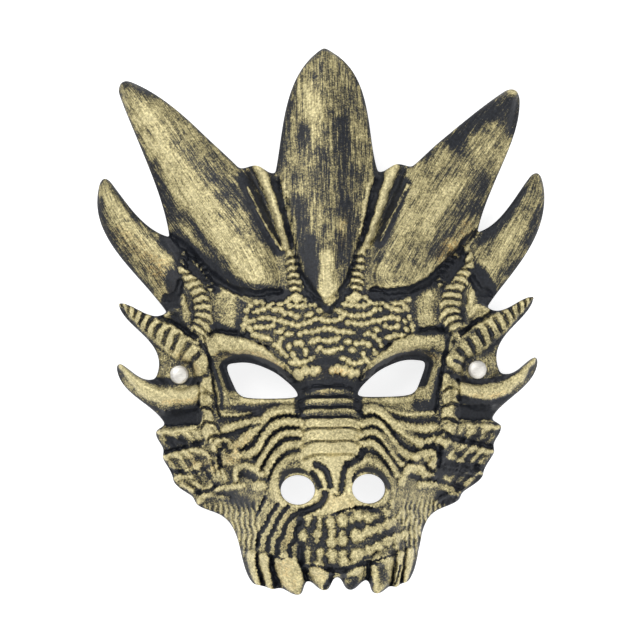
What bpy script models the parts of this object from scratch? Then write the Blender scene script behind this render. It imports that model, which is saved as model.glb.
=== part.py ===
"""Dragon mask: one moulded shell with crown, horns, muzzle and teeth, and a rivet in each temple.

The mask lies on its back. +Z is the front of the face, +Y its crown, +X its left cheek as worn.
Places on the face are shares of its own height: (across, up) in hundredths of MASK_HEIGHT, with
across measured from the middle of the face and up from the tips of the fangs. Heights of the form
are in the same hundredths, above the surface that the mask lies on.
"""
import math

import bpy
import numpy as np
from mathutils import Vector
from mathutils.geometry import delaunay_2d_cdt

# Driving dimensions, in metres
MASK_HEIGHT = 0.295
WALL = 0.0036
FIT_GAP = 0.0003
SHANK_RADIUS = 0.0017
HEAD_RADIUS = 0.0052
HEAD_RISE = 0.0017
HEAD_EDGE = 0.0005
WASHER_RADIUS = 0.0046
WASHER_THICKNESS = 0.0010
PAD_MARGIN = 0.0016

# How finely the form is sampled, and what it is thinned to
SAMPLES_PER_HEIGHT = 215
SHELL_TRIANGLES = 9000
RIVET_SIDES = 24
HOLE_SIDES = 16

UNIT = MASK_HEIGHT / 100.0
WALL_UNITS = WALL / UNIT
HOLE_RADIUS = SHANK_RADIUS + FIT_GAP
MAX_WALL_STRETCH = 2.4

# The half outline from the tip of the crown down to the gap between the middle teeth. Each corner
# is (across, up, bulge near it, bulge near the next corner): bulges are shares of the edge's
# length, outwards, at a third and two thirds of the way.
OUTLINE = {
    "crown tip": (0.0, 100.0, 0.26, 0.037),
    "crown notch": (9.4, 76.9, -0.19, 0.145),
    "fold tip": (13.3, 78.3, 0.07, -0.15),
    "horn notch": (15.9, 77.9, 0.018, 0.065),
    "horn tip": (34.6, 93.3, 0.45, 0.42),
    "horn tip side": (37.0, 91.5, 0.048, -0.05),
    "side horn notch": (28.3, 65.7, -0.164, -0.032),
    "side horn tip": (38.95, 76.4, 0.51, 0.40),
    "side horn tip side": (40.75, 75.85, 0.255, 0.043),
    "ribbed spike notch": (29.4, 51.9, -0.315, 0.095),
    "ribbed spike tip": (38.3, 53.8, 0.085, -0.375),
    "smooth spike notch": (31.7, 39.8, -0.29, -0.016),
    "smooth spike tip": (37.95, 42.6, 0.52, 0.42),
    "smooth spike tip side": (38.8, 42.0, 0.213, -0.067),
    "fin notch": (30.1, 31.5, -0.21, 0.155),
    "first fin": (31.8, 30.1, 0.19, -0.01),
    "first fin notch": (30.5, 27.1, -0.16, 0.065),
    "second fin": (30.5, 25.1, -0.015, -0.13),
    "third fin": (28.5, 21.0, 0.13, 0.005),
    "third fin notch": (24.8, 18.0, -0.045, 0.085),
    "fourth fin": (24.1, 16.6, 0.08, -0.065),
    "cheek corner": (19.3, 14.3, -0.18, 0.105),
    "jaw corner": (14.0, 1.9, -0.05, -0.095),
    "first tooth": (11.4, 1.0, 0.13, -0.11),
    "first tooth notch": (9.8, 1.2, 0.015, 0.25),
    "fang": (6.7, 0.0, 0.19, -0.235),
    "fang notch": (5.3, 2.45, -0.13, 0.255),
    "middle tooth": (2.05, 0.7, 0.2, -0.255),
    "middle notch": (0.0, 3.1, 0.0, 0.0),
}
# How much more an edge bulges on the right than on the mean of the two sides
LOPSIDED = {"crown tip": (0.042, -0.009), "horn notch": (-0.035, -0.031),
            "horn tip side": (0.049, 0.036)}
EYE = [(18.1, 41.6), (16.4, 42.3), (13.5, 42.1), (9.9, 40.6), (7.3, 38.6), (5.7, 36.8), (5.9, 35.8),
       (9.5, 35.6), (14.1, 35.8), (16.0, 36.5), (17.0, 38.2)]
NOSTRIL = (6.4, 18.9)
NOSTRIL_RADII = (3.05, 2.65)
RIVET = (27.3, 40.4)
RIVET_PAD = (max(HEAD_RADIUS, WASHER_RADIUS) + PAD_MARGIN) / UNIT

# Heights of the smooth form at named places: (across, up, height)
FORM = {
    "crown tip": (0, 100, 5.2), "crown upper": (0, 85, 7.8), "crown lower": (0, 70, 10.8),
    "crown root": (0, 58, 13.2), "forehead": (0, 48, 14.8), "between brows": (0, 41, 15.4),
    "nose root": (0, 36, 15.8), "bridge": (0, 30, 18.0), "bridge end": (0, 25, 20.4),
    "nose top": (0, 21, 22.0), "nose tip": (0, 16, 22.9), "lip": (0, 11, 23.2),
    "lip edge": (0, 6, 22.4), "middle teeth": (0, 1, 20.4),
    "crown side": (9, 82, 6.9), "crown shoulder": (7, 92, 5.0), "crown notch": (9.4, 77, 8.6),
    "fold tip": (13, 78, 8.6), "horn notch": (16, 78, 7.8), "horn middle": (25, 80, 4.8),
    "horn tip": (36, 93, 1.1), "horn outside": (30, 75, 3.2), "side horn notch": (28.3, 65.7, 4.6),
    "horn root": (14, 60, 11.8), "horn root outside": (22, 62, 8.0),
    "side horn tip": (40, 77, 1.1), "side horn middle": (36, 66, 2.4), "side horn root": (28, 56, 5.6),
    "ribbed spike notch": (29.5, 52, 4.6), "ribbed spike tip": (38.2, 53.8, 1.1),
    "ribbed spike root": (25, 46, 7.8), "smooth spike tip": (38.5, 42.6, 1.1),
    "smooth spike notch": (31.7, 39.8, 3.4), "smooth spike root": (25, 37, 7.0),
    "rivet": (27.3, 40.4, 5.6), "temple": (21, 50, 10.2), "temple front": (16, 52, 12.2),
    "brow outside": (20, 45, 10.4), "brow middle": (13, 45, 13.6), "brow inside": (7, 40, 15.0),
    "eye outside": (18, 39, 10.6), "eye middle": (12, 38, 13.2), "eye inside": (6, 36, 14.8),
    "cheekbone": (19, 33, 9.8), "under eye": (13, 33, 13.0), "snout side": (6, 30, 16.4),
    "snout flank": (8, 25, 16.6), "nostril wing": (8, 20, 19.6), "nostril": (5, 19, 21.6),
    "cheek": (24, 30, 6.6), "first fin": (30, 30, 2.6), "cheek fold": (20, 25, 8.4),
    "third fin": (28.5, 21, 1.2), "fourth fin": (24, 17, 1.2), "cheek corner": (19.3, 14.4, 3.6),
    "valley": (15, 25, 12.2), "lower valley": (16, 19, 10.2), "muzzle flank": (12, 15, 18.0),
    "muzzle side": (15.2, 9, 13.6), "jaw corner": (14, 2, 14.2), "muzzle front": (8, 10, 21.8),
    "lip side": (11, 6, 18.4), "cheek end": (18, 14, 6.6),
}

# Horns and spikes: (across, up, half width) along the spine, and the rise of the vault
CROWN = ([(0, 52.0, 1.5), (0, 58, 5.2), (0, 66, 7.0), (0, 77, 9.2), (0, 84, 9.0), (0, 92, 6.6),
          (0, 97, 3.6), (0, 100.4, 0.6)], 1.7)
HORN = ([(12.5, 57.5, 4.2), (16.5, 64.5, 7.4), (21.3, 71.5, 8.8), (26.2, 79.0, 7.2), (31.4, 86.6, 4.4),
         (36.3, 93.6, 0.8)], 1.8)
SIDE_HORN = ([(27.6, 54.4, 3.0), (31.5, 60.4, 4.4), (35.4, 66.4, 4.3), (38.6, 72.0, 2.6),
              (40.1, 77.0, 0.5)], 1.2)
SMOOTH_SPIKE = ([(23.8, 36.6, 1.9), (28.0, 35.6, 2.9), (32.2, 36.7, 2.9), (35.6, 39.3, 1.9),
                 (38.6, 42.8, 0.4)], 1.3)
RIBBED_SPIKE = [(38.3, 54.0, 0.4), (34.4, 51.6, 1.8), (30.9, 48.6, 2.4), (28.0, 46.4, 2.5),
                (25.6, 44.4, 2.5), (23.8, 42.2, 2.2)]
INNER_HORN = [(25.9, 62.6, 0.7), (26.3, 59.9, 1.0), (25.2, 57.8, 1.25), (23.8, 55.7, 1.5),
              (22.8, 53.3, 1.75), (22.6, 50.4, 2.0), (23.5, 47.6, 2.0)]
BRAID = [(24.2, 61.3, 0.6), (21.9, 59.0, 0.8), (21.0, 56.0, 0.9)]
FOLD_ROD = [(6.3, 62.0, 1.1), (5.8, 58.0, 1.3), (5.4, 54.0, 1.2)]

# Folds on both sides: (path with half widths, rise, power); a low power gives a flat top
FOLDS = {
    "fan ridge": ([(12.4, 78.2, 1.3), (10.8, 74.5, 1.1), (9.4, 70.2, 0.9), (7.3, 63.1, 0.6)], 1.3, 1.0),
    "brow": ([(21.2, 45.4, 1.9), (19.0, 45.9, 1.8), (15.0, 45.3, 1.5), (11.3, 43.5, 1.2),
              (8.2, 41.1, 0.95), (6.4, 39.0, 0.6)], 1.4, 0.6),
    "smooth spike back": ([(23.9, 36.9, 1.5), (27.6, 36.4, 1.75), (31.4, 36.9, 1.7), (34.8, 39.0, 1.3),
                           (38.2, 42.4, 0.4)], 1.2, 0.8),
    "first cheek fold": ([(6.6, 34.0, 0.6), (9.5, 33.2, 0.9), (13.2, 31.0, 1.0), (15.4, 28.6, 1.0),
                          (17.2, 26.6, 0.8)], 1.1, 0.6),
    "second cheek fold": ([(5.8, 31.9, 0.6), (9.2, 31.2, 0.85), (11.6, 29.7, 0.9), (13.2, 27.4, 0.85),
                           (15.0, 25.6, 0.7)], 1.0, 0.6),
    "third cheek fold": ([(5.9, 29.8, 0.6), (9.0, 29.1, 0.85), (11.3, 27.2, 0.85), (13.4, 24.0, 0.75)], 0.9, 0.6),
    "fourth cheek fold": ([(6.0, 27.7, 0.6), (8.8, 26.9, 0.8), (10.9, 24.9, 0.8), (12.4, 22.0, 0.65)], 0.8, 0.6),
    "fifth cheek fold": ([(6.1, 25.5, 0.6), (8.4, 24.6, 0.75), (10.2, 22.6, 0.7)], 0.7, 0.6),
    "lower lid": ([(19.4, 33.3, 0.7), (17.2, 33.5, 0.9), (14.2, 33.8, 0.8), (10.0, 34.4, 0.5)], 0.7, 0.8),
    "lid crease": ([(19.6, 30.2, 0.8), (17.0, 31.2, 0.9), (14.4, 31.9, 0.5)], 0.8, 0.7),
    "cheek hook": ([(15.6, 25.3, 0.6), (17.1, 25.4, 0.75), (18.9, 25.4, 0.75), (19.4, 24.2, 0.75),
                    (18.9, 23.2, 0.6)], 0.9, 0.6),
    "cheek curl": ([(17.9, 27.2, 0.6), (19.0, 27.7, 0.65), (20.8, 27.5, 0.65), (21.2, 26.1, 0.55)], 0.8, 0.6),
    "snail curl": ([(16.9, 21.1, 0.7), (15.8, 23.0, 0.85), (13.4, 22.0, 0.85), (12.5, 20.9, 0.7)], 0.9, 0.6),
    "first cheek lump": ([(14.2, 19.2, 0.9), (12.2, 19.9, 0.8)], 0.8, 0.6),
    "second cheek lump": ([(19.8, 19.3, 0.8), (16.4, 19.5, 0.7)], 0.8, 0.6),
    "spike foot": ([(31.0, 34.2, 0.4), (24.0, 34.8, 0.4)], 0.5, 1.0),
    "nostril side": ([(10.4, 21.4, 0.6), (10.6, 18.6, 0.9), (9.4, 16.2, 0.8)], 0.7, 0.8),
    "temple fold": ([(26.6, 54.6, 0.6), (25.9, 51.6, 0.8), (25.2, 48.4, 0.6)], 0.7, 1.0),
    "panel fold": ([(29.4, 51.4, 0.5), (27.6, 52.0, 0.8), (26.2, 50.2, 0.6)], 0.7, 1.0),
}
GROOVES = {
    "crown root": ([(9.0, 75.6, 0.5), (7.9, 72.0, 0.5), (6.7, 66.0, 0.5), (4.6, 58.4, 0.6),
                    (2.4, 54.8, 0.6), (0.0, 53.0, 0.6)], 0.8),
    "fan valley": ([(13.8, 77.0, 0.9), (11.2, 71.0, 0.8), (8.2, 63.8, 0.6)], 0.7),
    "horn root": ([(28.0, 66.0, 0.5), (25.4, 63.6, 0.8), (21.4, 59.0, 0.9), (17.6, 56.0, 0.9),
                   (13.2, 54.8, 0.8), (8.4, 55.2, 0.6)], 1.0),
    "side horn root": ([(29.6, 54.4, 0.9), (27.8, 54.9, 1.0), (26.6, 57.4, 0.7)], 0.9),
    "spike upper edge": ([(35.6, 54.0, 0.4), (30.4, 50.8, 0.6), (26.8, 48.9, 0.6), (24.2, 47.0, 0.5)], 0.9),
    "temple seam": ([(22.6, 47.2, 0.35), (21.7, 44.0, 0.4), (21.0, 40.0, 0.35), (20.3, 35.6, 0.35),
                     (19.8, 32.6, 0.35)], 0.7),
    "spike end": ([(23.8, 38.6, 0.4), (23.6, 36.6, 0.4), (23.8, 34.8, 0.4)], 0.8),
    "brow top": ([(21.4, 47.8, 0.3), (18.6, 48.0, 0.45), (15.4, 47.2, 0.45), (12.0, 45.6, 0.4),
                  (9.2, 43.0, 0.4), (6.2, 39.4, 0.3)], 0.7),
    "first fin gap": ([(30.2, 26.3, 0.5), (27.3, 26.9, 0.6), (23.2, 27.9, 0.5)], 0.9),
    "second fin gap": ([(28.6, 22.7, 0.5), (26.2, 22.5, 0.6), (23.6, 22.8, 0.6), (21.2, 24.0, 0.5)], 0.9),
    "third fin gap": ([(24.3, 18.4, 0.5), (22.2, 19.2, 0.5), (20.8, 20.0, 0.4)], 0.8),
    "first tooth gap": ([(13.4, 7.0, 0.35), (13.0, 4.2, 0.4), (12.3, 1.7, 0.35)], 0.9),
    "second tooth gap": ([(11.3, 6.7, 0.4), (11.0, 4.0, 0.45), (10.1, 1.4, 0.4)], 1.0),
    "third tooth gap": ([(6.2, 5.8, 0.5), (5.8, 3.8, 0.5), (5.3, 2.4, 0.4)], 1.0),
    "nose middle": ([(2.6, 23.8, 0.4), (1.5, 22.2, 0.5), (1.0, 19.4, 0.5), (0.9, 16.6, 0.4)], 0.6),
    "nostril inside": ([(3.7, 22.4, 0.4), (3.1, 20.4, 0.5), (2.9, 18.2, 0.4)], 0.5),
    "first lip groove": ([(10.9, 16.3, 0.45), (12.6, 13.2, 0.5), (13.8, 10.7, 0.5), (14.0, 8.0, 0.4)], 0.7),
    "second lip groove": ([(8.6, 15.9, 0.45), (10.9, 12.8, 0.5), (12.2, 10.0, 0.5), (12.4, 7.6, 0.4)], 0.7),
    "third lip groove": ([(7.2, 14.6, 0.4), (9.2, 12.1, 0.45), (10.6, 9.2, 0.45), (10.6, 6.9, 0.4)], 0.6),
    "muzzle side groove": ([(13.2, 16.6, 0.7), (15.6, 13.0, 0.8), (16.6, 9.0, 0.6)], 0.9),
}

# Rows of round scales: (path, bead radius, bead height)
BEAD_ROWS = {
    "lip top": ([(0, 12.9), (2.9, 13.1), (5.1, 13.6), (7.4, 14.3), (9.4, 15.2), (11.4, 16.6)], 1.05, 0.8),
    "lip middle": ([(0, 9.7), (3.5, 10.1), (6.2, 11.0), (8.8, 12.0), (11.2, 13.4), (13.8, 14.6)], 1.15, 0.85),
    "lip bottom": ([(0, 6.3), (3.3, 6.6), (5.6, 7.2), (8.2, 8.4), (11.2, 9.8), (14.2, 10.8)], 1.2, 0.85),
}
FOREHEAD_ROWS = (53.4, 51.6, 49.8, 48.0, 46.3, 44.5, 42.7)
FOREHEAD_BEAD = 0.82
FOREHEAD_RISE = 0.5

# Grooves across the bridge of the nose: (up, reach to each side)
NOSE_GROOVES = ((37.6, 4.4), (35.6, 5.2), (33.7, 5.7), (31.9, 5.8), (29.9, 5.7), (27.5, 5.4), (25.1, 5.0))
NOSE_GROOVE_DEPTH = 0.6
BRIDGE_RISE = 0.45

# The flat recess between the smooth spike and the first fin: its middle line with half widths
RECESS = [(30.6, 32.5, 1.45), (24.6, 32.6, 1.45)]
RECESS_DEPTH = 1.2

# Teeth: (root across, root up, tip across, tip up, half width at the root)
TEETH = ((14.4, 7.2, 13.3, 1.6, 1.0), (12.4, 6.6, 11.2, 0.4, 1.1), (8.7, 5.6, 7.1, -0.2, 2.2),
         (3.3, 4.4, 2.2, 0.2, 1.7))
TOOTH_RISE = 1.5
LIP_LINE = [(0.0, 3.4), (3.0, 4.0), (6.0, 4.9), (10.0, 5.9), (13.0, 6.8), (16.5, 8.4)]
GUM_DROP = 1.4

# Fins of the cheek: (root across, root up, tip across, tip up, half width at the root)
FINS = ((22.4, 29.2, 31.9, 30.0, 1.6), (22.2, 26.8, 30.9, 25.2, 1.5), (21.6, 24.2, 28.9, 20.9, 1.6),
        (19.8, 21.2, 24.3, 16.6, 1.7))
FIN_RISE = 0.9

# Short plates stacked on the side of the cheek: (across, up) from the temple down
PLATE_PATH = [(22.2, 38.4, 1.5), (22.4, 35.0, 1.5), (22.3, 31.6, 1.6), (21.4, 29.0, 1.4)]

# How far parts of the cast face lie off the even one: to the left, but the fold and teeth to the right
CAST_LEAN = 0.65
FOLD_LEAN = 0.2
FACE_LEAN = 0.45
JAW_LEAN = 0.45
HORN_SKEW = 1.24
TEETH_SHIFT = 0.5


def clear_scene():
    """Remove whatever the new file holds."""
    for thing in list(bpy.data.objects):
        bpy.data.objects.remove(thing, do_unlink=True)


def smoothstep(low, high, value):
    """Rise from 0 at low to 1 at high, with level ends."""
    share = np.clip((value - low) / (high - low), 0.0, 1.0)
    return share * share * (3.0 - 2.0 * share)


def catmull(points, per_span, closed=False):
    """Points of a smooth curve through the given ones, whose extra columns run along with them."""
    points = np.asarray(points, float)
    count = len(points)
    spans = count if closed else count - 1
    shares = np.linspace(0.0, 1.0, per_span, endpoint=False)[:, None]
    pieces = []
    for span in range(spans):
        if closed:
            ring = [points[(span + step) % count] for step in (-1, 0, 1, 2)]
        else:
            ring = [points[min(max(span + step, 0), count - 1)] for step in (-1, 0, 1, 2)]
        before, start, end, after = ring
        pieces.append(0.5 * (2 * start + (end - before) * shares
                             + (2 * before - 5 * start + 4 * end - after) * shares ** 2
                             + (3 * start - before - 3 * end + after) * shares ** 3))
    if not closed:
        pieces.append(points[-1:])
    return np.concatenate(pieces)


class Path:
    """A smooth line on the face, with a half width at each of its points."""

    def __init__(self, points, width=None, per_span=7):
        rows = [tuple(point[:2]) + ((point[2],) if width is None else (width,)) for point in points]
        curve = catmull(rows, per_span)
        self.start, self.end = curve[:-1], curve[1:]
        steps = np.hypot(*(self.end - self.start)[:, :2].T)
        self.run = np.concatenate([[0.0], np.cumsum(steps)])
        self.length = self.run[-1]
        self.low = curve[:, :2].min(0) - curve[:, 2].max()
        self.high = curve[:, :2].max(0) + curve[:, 2].max()

    def near(self, across, up, margin=0.0):
        """Which points lie in the box of the path."""
        return np.flatnonzero((across > self.low[0] - margin) & (across < self.high[0] + margin)
                              & (up > self.low[1] - margin) & (up < self.high[1] + margin))

    def measure(self, across, up):
        """Distance, side (-1 or 1), run along the path and half width at the nearest place."""
        best = np.full(len(across), 1e9)
        side = np.ones(len(across))
        run = np.zeros(len(across))
        width = np.ones(len(across))
        for index, (start, end) in enumerate(zip(self.start, self.end)):
            step = end[:2] - start[:2]
            length = math.hypot(*step)
            if length < 1e-9:
                continue
            dx, dy = across - start[0], up - start[1]
            share = np.clip((dx * step[0] + dy * step[1]) / length ** 2, 0.0, 1.0)
            gap = np.hypot(dx - share * step[0], dy - share * step[1])
            closer = gap < best
            best[closer] = gap[closer]
            side[closer] = np.sign(step[0] * dy - step[1] * dx)[closer]
            run[closer] = self.run[index] + share[closer] * length
            width[closer] = (start[2] + share * (end[2] - start[2]))[closer]
        return best, side, run, width


def vault(height, across, up, path, rise):
    """Raise a round back over a path, as over a horn."""
    where = path.near(across, up)
    gap, _, _, width = path.measure(across[where], up[where])
    height[where] += rise * np.clip(1.0 - (gap / width) ** 2, 0.0, 1.0) * np.minimum(1.0, width / 2.0)


def ridge(height, across, up, path, rise, power=1.0):
    """Lay a fold along a path, or cut a groove where rise is negative."""
    where = path.near(across, up)
    gap, _, _, width = path.measure(across[where], up[where])
    height[where] += rise * np.clip(1.0 - (gap / width) ** 2, 0.0, 1.0) ** power


def rungs(height, across, up, path, rise, pitch, cut, low=-1.2, high=1.2, slant=0.0, fill=0.55,
          growth=0.0):
    """A ribbed horn: a round back with slots across it, from low to high of its width.

    The slots are a pitch apart at the start of the path, and the pitch grows by growth for each unit of it.
    """
    where = path.near(across, up)
    gap, turn, run, width = path.measure(across[where], up[where])
    lateral = turn * gap / width
    back = np.sqrt(np.clip(1.0 - lateral ** 2, 0.0, 1.0))
    turns = run / pitch - slant * lateral - 0.3 * lateral ** 2
    if growth:
        turns = np.log1p(np.maximum(growth * turns, -0.9)) / growth
    phase = np.mod(turns, 1.0) - 0.5
    slot = np.clip(1.0 - (phase / (0.5 * fill)) ** 2, 0.0, 1.0) ** 0.6
    window = smoothstep(low - 0.2, low + 0.15, lateral) * (1.0 - smoothstep(high - 0.15, high + 0.2, lateral))
    height[where] += np.where(gap < width, rise * back - cut * slot * window * back ** 0.4, 0.0)


def beads(height, across, up, path, radius, rise):
    """A row of round scales, evenly spaced along a path."""
    where = path.near(across, up, radius)
    gap, _, run, _ = path.measure(across[where], up[where])
    count = max(1, round(path.length / (2.0 * radius)))
    pitch = path.length / count
    along = np.mod(run, pitch) / pitch - 0.5
    dome = np.clip(1.0 - (gap / radius) ** 2 - (2.0 * along) ** 2 * 0.9, 0.0, 1.0)
    height[where] += rise * np.sqrt(dome)


def cone(height, across, up, root, tip, width, rise, middle=0.72, end=0.2):
    """A tooth or fin: wide and full at the root, and middle and end shares of that further out."""
    path = Path([root + (width,), tuple((a + b) / 2 for a, b in zip(root, tip)) + (middle * width,),
                 tip + (end * width,)])
    ridge(height, across, up, path, rise, 0.7)


def form_kernel(gap):
    """The thin-plate kernel."""
    return gap * gap * np.log(np.maximum(gap, 1e-6))


def solve_form():
    """Weights of the smooth surface through the heights in FORM, mirrored to both sides."""
    knots = [row for row in FORM.values()] + [(-a, b, c) for a, b, c in FORM.values() if a]
    knots = np.array(knots, float)
    count = len(knots)
    gaps = np.hypot(knots[:, None, 0] - knots[None, :, 0], knots[:, None, 1] - knots[None, :, 1])
    matrix = np.zeros((count + 3, count + 3))
    matrix[:count, :count] = form_kernel(gaps) + 2.0 * np.eye(count)
    matrix[:count, count] = 1.0
    matrix[:count, count + 1:] = knots[:, :2]
    matrix[count:, :count] = matrix[:count, count:].T
    weights = np.linalg.solve(matrix, np.concatenate([knots[:, 2], np.zeros(3)]))
    return knots, weights


def smooth_form(across, up, form):
    """Height of the plain form, before horns, sockets and carving."""
    knots, weights = form
    height = weights[-3] + weights[-2] * across + weights[-1] * up
    for (a, b, _), weight in zip(knots, weights):
        height = height + weight * form_kernel(np.hypot(across - a, up - b))
    return height


def outline_half(sign):
    """Points of one side's half outline, crown to teeth, with each edge a cubic curve."""
    corners = list(OUTLINE.items())
    points = []
    for (name, (a0, b0, first, second)), (_, (a1, b1, _, _)) in zip(corners, corners[1:]):
        extra = LOPSIDED.get(name, (0.0, 0.0))
        first, second = first + sign * extra[0], second + sign * extra[1]
        start, end = np.array([a0, b0]), np.array([a1, b1])
        step = end - start
        outward = np.array([-step[1], step[0]])
        near, far = start + 0.29 * step + first * outward, start + 0.70 * step + second * outward
        count = max(3, round(1.1 * float(np.hypot(*step)) * SAMPLES_PER_HEIGHT / 100.0))
        for share in np.linspace(0.0, 1.0, count, endpoint=False):
            rest = 1.0 - share
            points.append(rest ** 3 * start + 3 * rest ** 2 * share * near
                          + 3 * rest * share ** 2 * far + share ** 3 * end)
    points.append(np.array(corners[-1][1][:2]))
    return np.array(points)


def soften(loop, rounds=2):
    """Round off a closed loop's corners a little."""
    for _ in range(rounds):
        loop = 0.5 * loop + 0.25 * (np.roll(loop, 1, 0) + np.roll(loop, -1, 0))
    return loop


def even_spacing(loop, step):
    """The closed loop again, with points about a step apart."""
    closed = np.vstack([loop, loop[:1]])
    run = np.concatenate([[0.0], np.cumsum(np.hypot(*np.diff(closed, axis=0).T))])
    count = max(8, round(run[-1] / step))
    places = np.linspace(0.0, run[-1], count, endpoint=False)
    return np.column_stack([np.interp(places, run, closed[:, k]) for k in (0, 1)])


def face_loops(step):
    """The outline and the openings in it, as closed loops about a step apart."""
    right = outline_half(1.0)
    left = outline_half(-1.0)[-2:0:-1] * (-1.0, 1.0)
    loops = [even_spacing(soften(np.vstack([right, left])), step)]
    eye = even_spacing(catmull(EYE, 6, closed=True), step)
    turn = np.linspace(0.0, 2.0 * math.pi, round(2.0 * math.pi * NOSTRIL_RADII[0] / step), endpoint=False)
    nostril = np.column_stack([NOSTRIL[0] + NOSTRIL_RADII[0] * np.cos(turn),
                               NOSTRIL[1] + NOSTRIL_RADII[1] * np.sin(turn)])
    turn = np.linspace(0.0, 2.0 * math.pi, HOLE_SIDES, endpoint=False)
    bore = HOLE_RADIUS / UNIT / math.cos(math.pi / HOLE_SIDES)
    hole = np.column_stack([RIVET[0] + bore * np.cos(turn), RIVET[1] + bore * np.sin(turn)])
    for loop in (eye, nostril, hole):
        loops.append(loop)
        loops.append(loop * (-1.0, 1.0))
    return loops


def loop_distance(loops, across, up):
    """Distance from each point to the nearest loop."""
    best = np.full(len(across), 1e9)
    for loop in loops:
        for start, end in zip(loop, np.roll(loop, -1, 0)):
            step = end - start
            reach = 3.0
            box = np.flatnonzero((np.abs(across - start[0]) < reach) & (np.abs(up - start[1]) < reach))
            dx, dy = across[box] - start[0], up[box] - start[1]
            share = np.clip((dx * step[0] + dy * step[1]) / (step @ step), 0.0, 1.0)
            best[box] = np.minimum(best[box], np.hypot(dx - share * step[0], dy - share * step[1]))
    return best


def inside(loop, across, up):
    """Which points lie inside a closed loop."""
    crossings = np.zeros(len(across), int)
    for (a0, b0), (a1, b1) in zip(loop, np.roll(loop, -1, 0)):
        if b0 == b1:
            continue
        spans = (b0 > up) != (b1 > up)
        crossings += spans & (across < a0 + (up - b0) * (a1 - a0) / (b1 - b0))
    return crossings % 2 == 1


def on_material(loops, across, up):
    """Which points lie inside the outline and in none of its openings."""
    result = inside(loops[0], across, up)
    for loop in loops[1:]:
        result &= ~inside(loop, across, up)
    return result


class Face:
    """The form and the carving of the mask over the plane."""

    def __init__(self):
        self.form = solve_form()
        self.eye = Path([point + (4.0,) for point in EYE + EYE[:1]])
        self.vaults = [(Path(spine), rise) for spine, rise in (CROWN, HORN, SIDE_HORN, SMOOTH_SPIKE)]
        self.lip = np.array(LIP_LINE)

    def body(self, across, up):
        """Smooth height that the back of the wall follows too."""
        side = np.abs(across)
        height = smooth_form(across, up, self.form)
        for path, rise in self.vaults:
            vault(height, side, up, path, rise)
        where = self.eye.near(side, up)
        gap, _, _, _ = self.eye.measure(side[where], up[where])
        depth = 1.0 + 1.9 * smoothstep(35.0, 41.0, up[where])
        height[where] -= depth * (1.0 - smoothstep(0.4, 2.6, gap))
        lip_up = np.interp(side, self.lip[:, 0], self.lip[:, 1])
        height -= GUM_DROP * smoothstep(0.2, -0.9, up - lip_up) * (side < 17.0)
        return self.level_pads(side, up, height)

    def level_pads(self, side, up, height):
        """Level the wall round each rivet, so that both of its heads lie flat."""
        gap = np.hypot(side - RIVET[0], up - RIVET[1])
        level = FORM["rivet"][2]
        return height + (level - height) * (1.0 - smoothstep(RIVET_PAD, RIVET_PAD + 1.6, gap))

    def carving(self, across, up):
        """Height of the carving above the smooth form."""
        side = np.abs(across)
        height = np.zeros(len(side))
        for points, rise, power in FOLDS.values():
            ridge(height, side, up, Path(points), rise, power)
        for points, depth in GROOVES.values():
            ridge(height, side, up, Path(points), -depth, 0.9)
        ridge(height, side, up, Path(RECESS), -RECESS_DEPTH, 0.35)
        rungs(height, side, up, Path(RIBBED_SPIKE), 1.3, 1.3, 0.9, -0.62, 0.72, 0.35, 0.5, 0.07)
        rungs(height, side, up, Path(INNER_HORN), 1.3, 1.55, 0.8, -0.9, 1.2, -0.3, 0.5)
        rungs(height, side, up, Path(BRAID), 0.7, 1.1, 0.6)
        rungs(height, side, up, Path(FOLD_ROD), 0.8, 1.3, 0.8)
        rungs(height, side, up, Path(PLATE_PATH), 0.9, 2.75, 0.9, fill=0.3)
        for root_a, root_b, tip_a, tip_b, width in FINS:
            cone(height, side, up, (root_a, root_b), (tip_a, tip_b), width, FIN_RISE)
        for root_a, root_b, tip_a, tip_b, width in TEETH:
            cone(height, side, up, (root_a, root_b), (tip_a, tip_b), width, TOOTH_RISE, 0.95, 0.35)
        for points, radius, rise in BEAD_ROWS.values():
            beads(height, side, up, Path(points, radius), radius, rise)
        self.forehead(height, side, up)
        self.nose(height, side, up)
        gap = np.hypot(side - RIVET[0], up - RIVET[1])
        return height * smoothstep(RIVET_PAD, RIVET_PAD + 1.0, gap)

    def forehead(self, height, side, up):
        """Wavy rows of small scales between the horns and the brows."""
        for level in FOREHEAD_ROWS:
            reach = 14.6 if level > 47.0 else 14.0 * (level - 38.0) / 9.0
            row = [(0.0, level - 0.6), (0.3 * reach, level + 0.3), (0.65 * reach, level - 0.3),
                   (reach, level + 0.5)]
            beads(height, side, up, Path(row, FOREHEAD_BEAD), FOREHEAD_BEAD, FOREHEAD_RISE)

    def nose(self, height, side, up):
        """Bands across the bridge, parted by narrow grooves, and a rim round each nostril."""
        bridge = smoothstep(6.4, 5.0, side) * smoothstep(24.6, 25.6, up) * smoothstep(38.4, 37.4, up)
        height += BRIDGE_RISE * bridge
        for level, reach in NOSE_GROOVES:
            line = [(0.0, level, 0.34), (0.6 * reach, level + 0.1, 0.36), (reach, level - 0.7, 0.4)]
            ridge(height, side, up, Path(line), -NOSE_GROOVE_DEPTH, 0.8)
        ring = np.hypot((side - NOSTRIL[0]) / NOSTRIL_RADII[0], (up - NOSTRIL[1]) / NOSTRIL_RADII[1])
        height += 0.7 * np.clip(1.0 - ((ring - 1.05) / 0.38) ** 2, 0.0, 1.0)

    def surfaces(self, across, up):
        """Front and back heights at the points."""
        body = self.body(across, up)
        step = 0.25
        slope_a = (self.body(across + step, up) - self.body(across - step, up)) / (2 * step)
        slope_b = (self.body(across, up + step) - self.body(across, up - step)) / (2 * step)
        stretch = np.minimum(np.sqrt(1.0 + slope_a ** 2 + slope_b ** 2), MAX_WALL_STRETCH)
        front = body + self.carving(across, up)
        return front, body - WALL_UNITS * stretch


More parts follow.
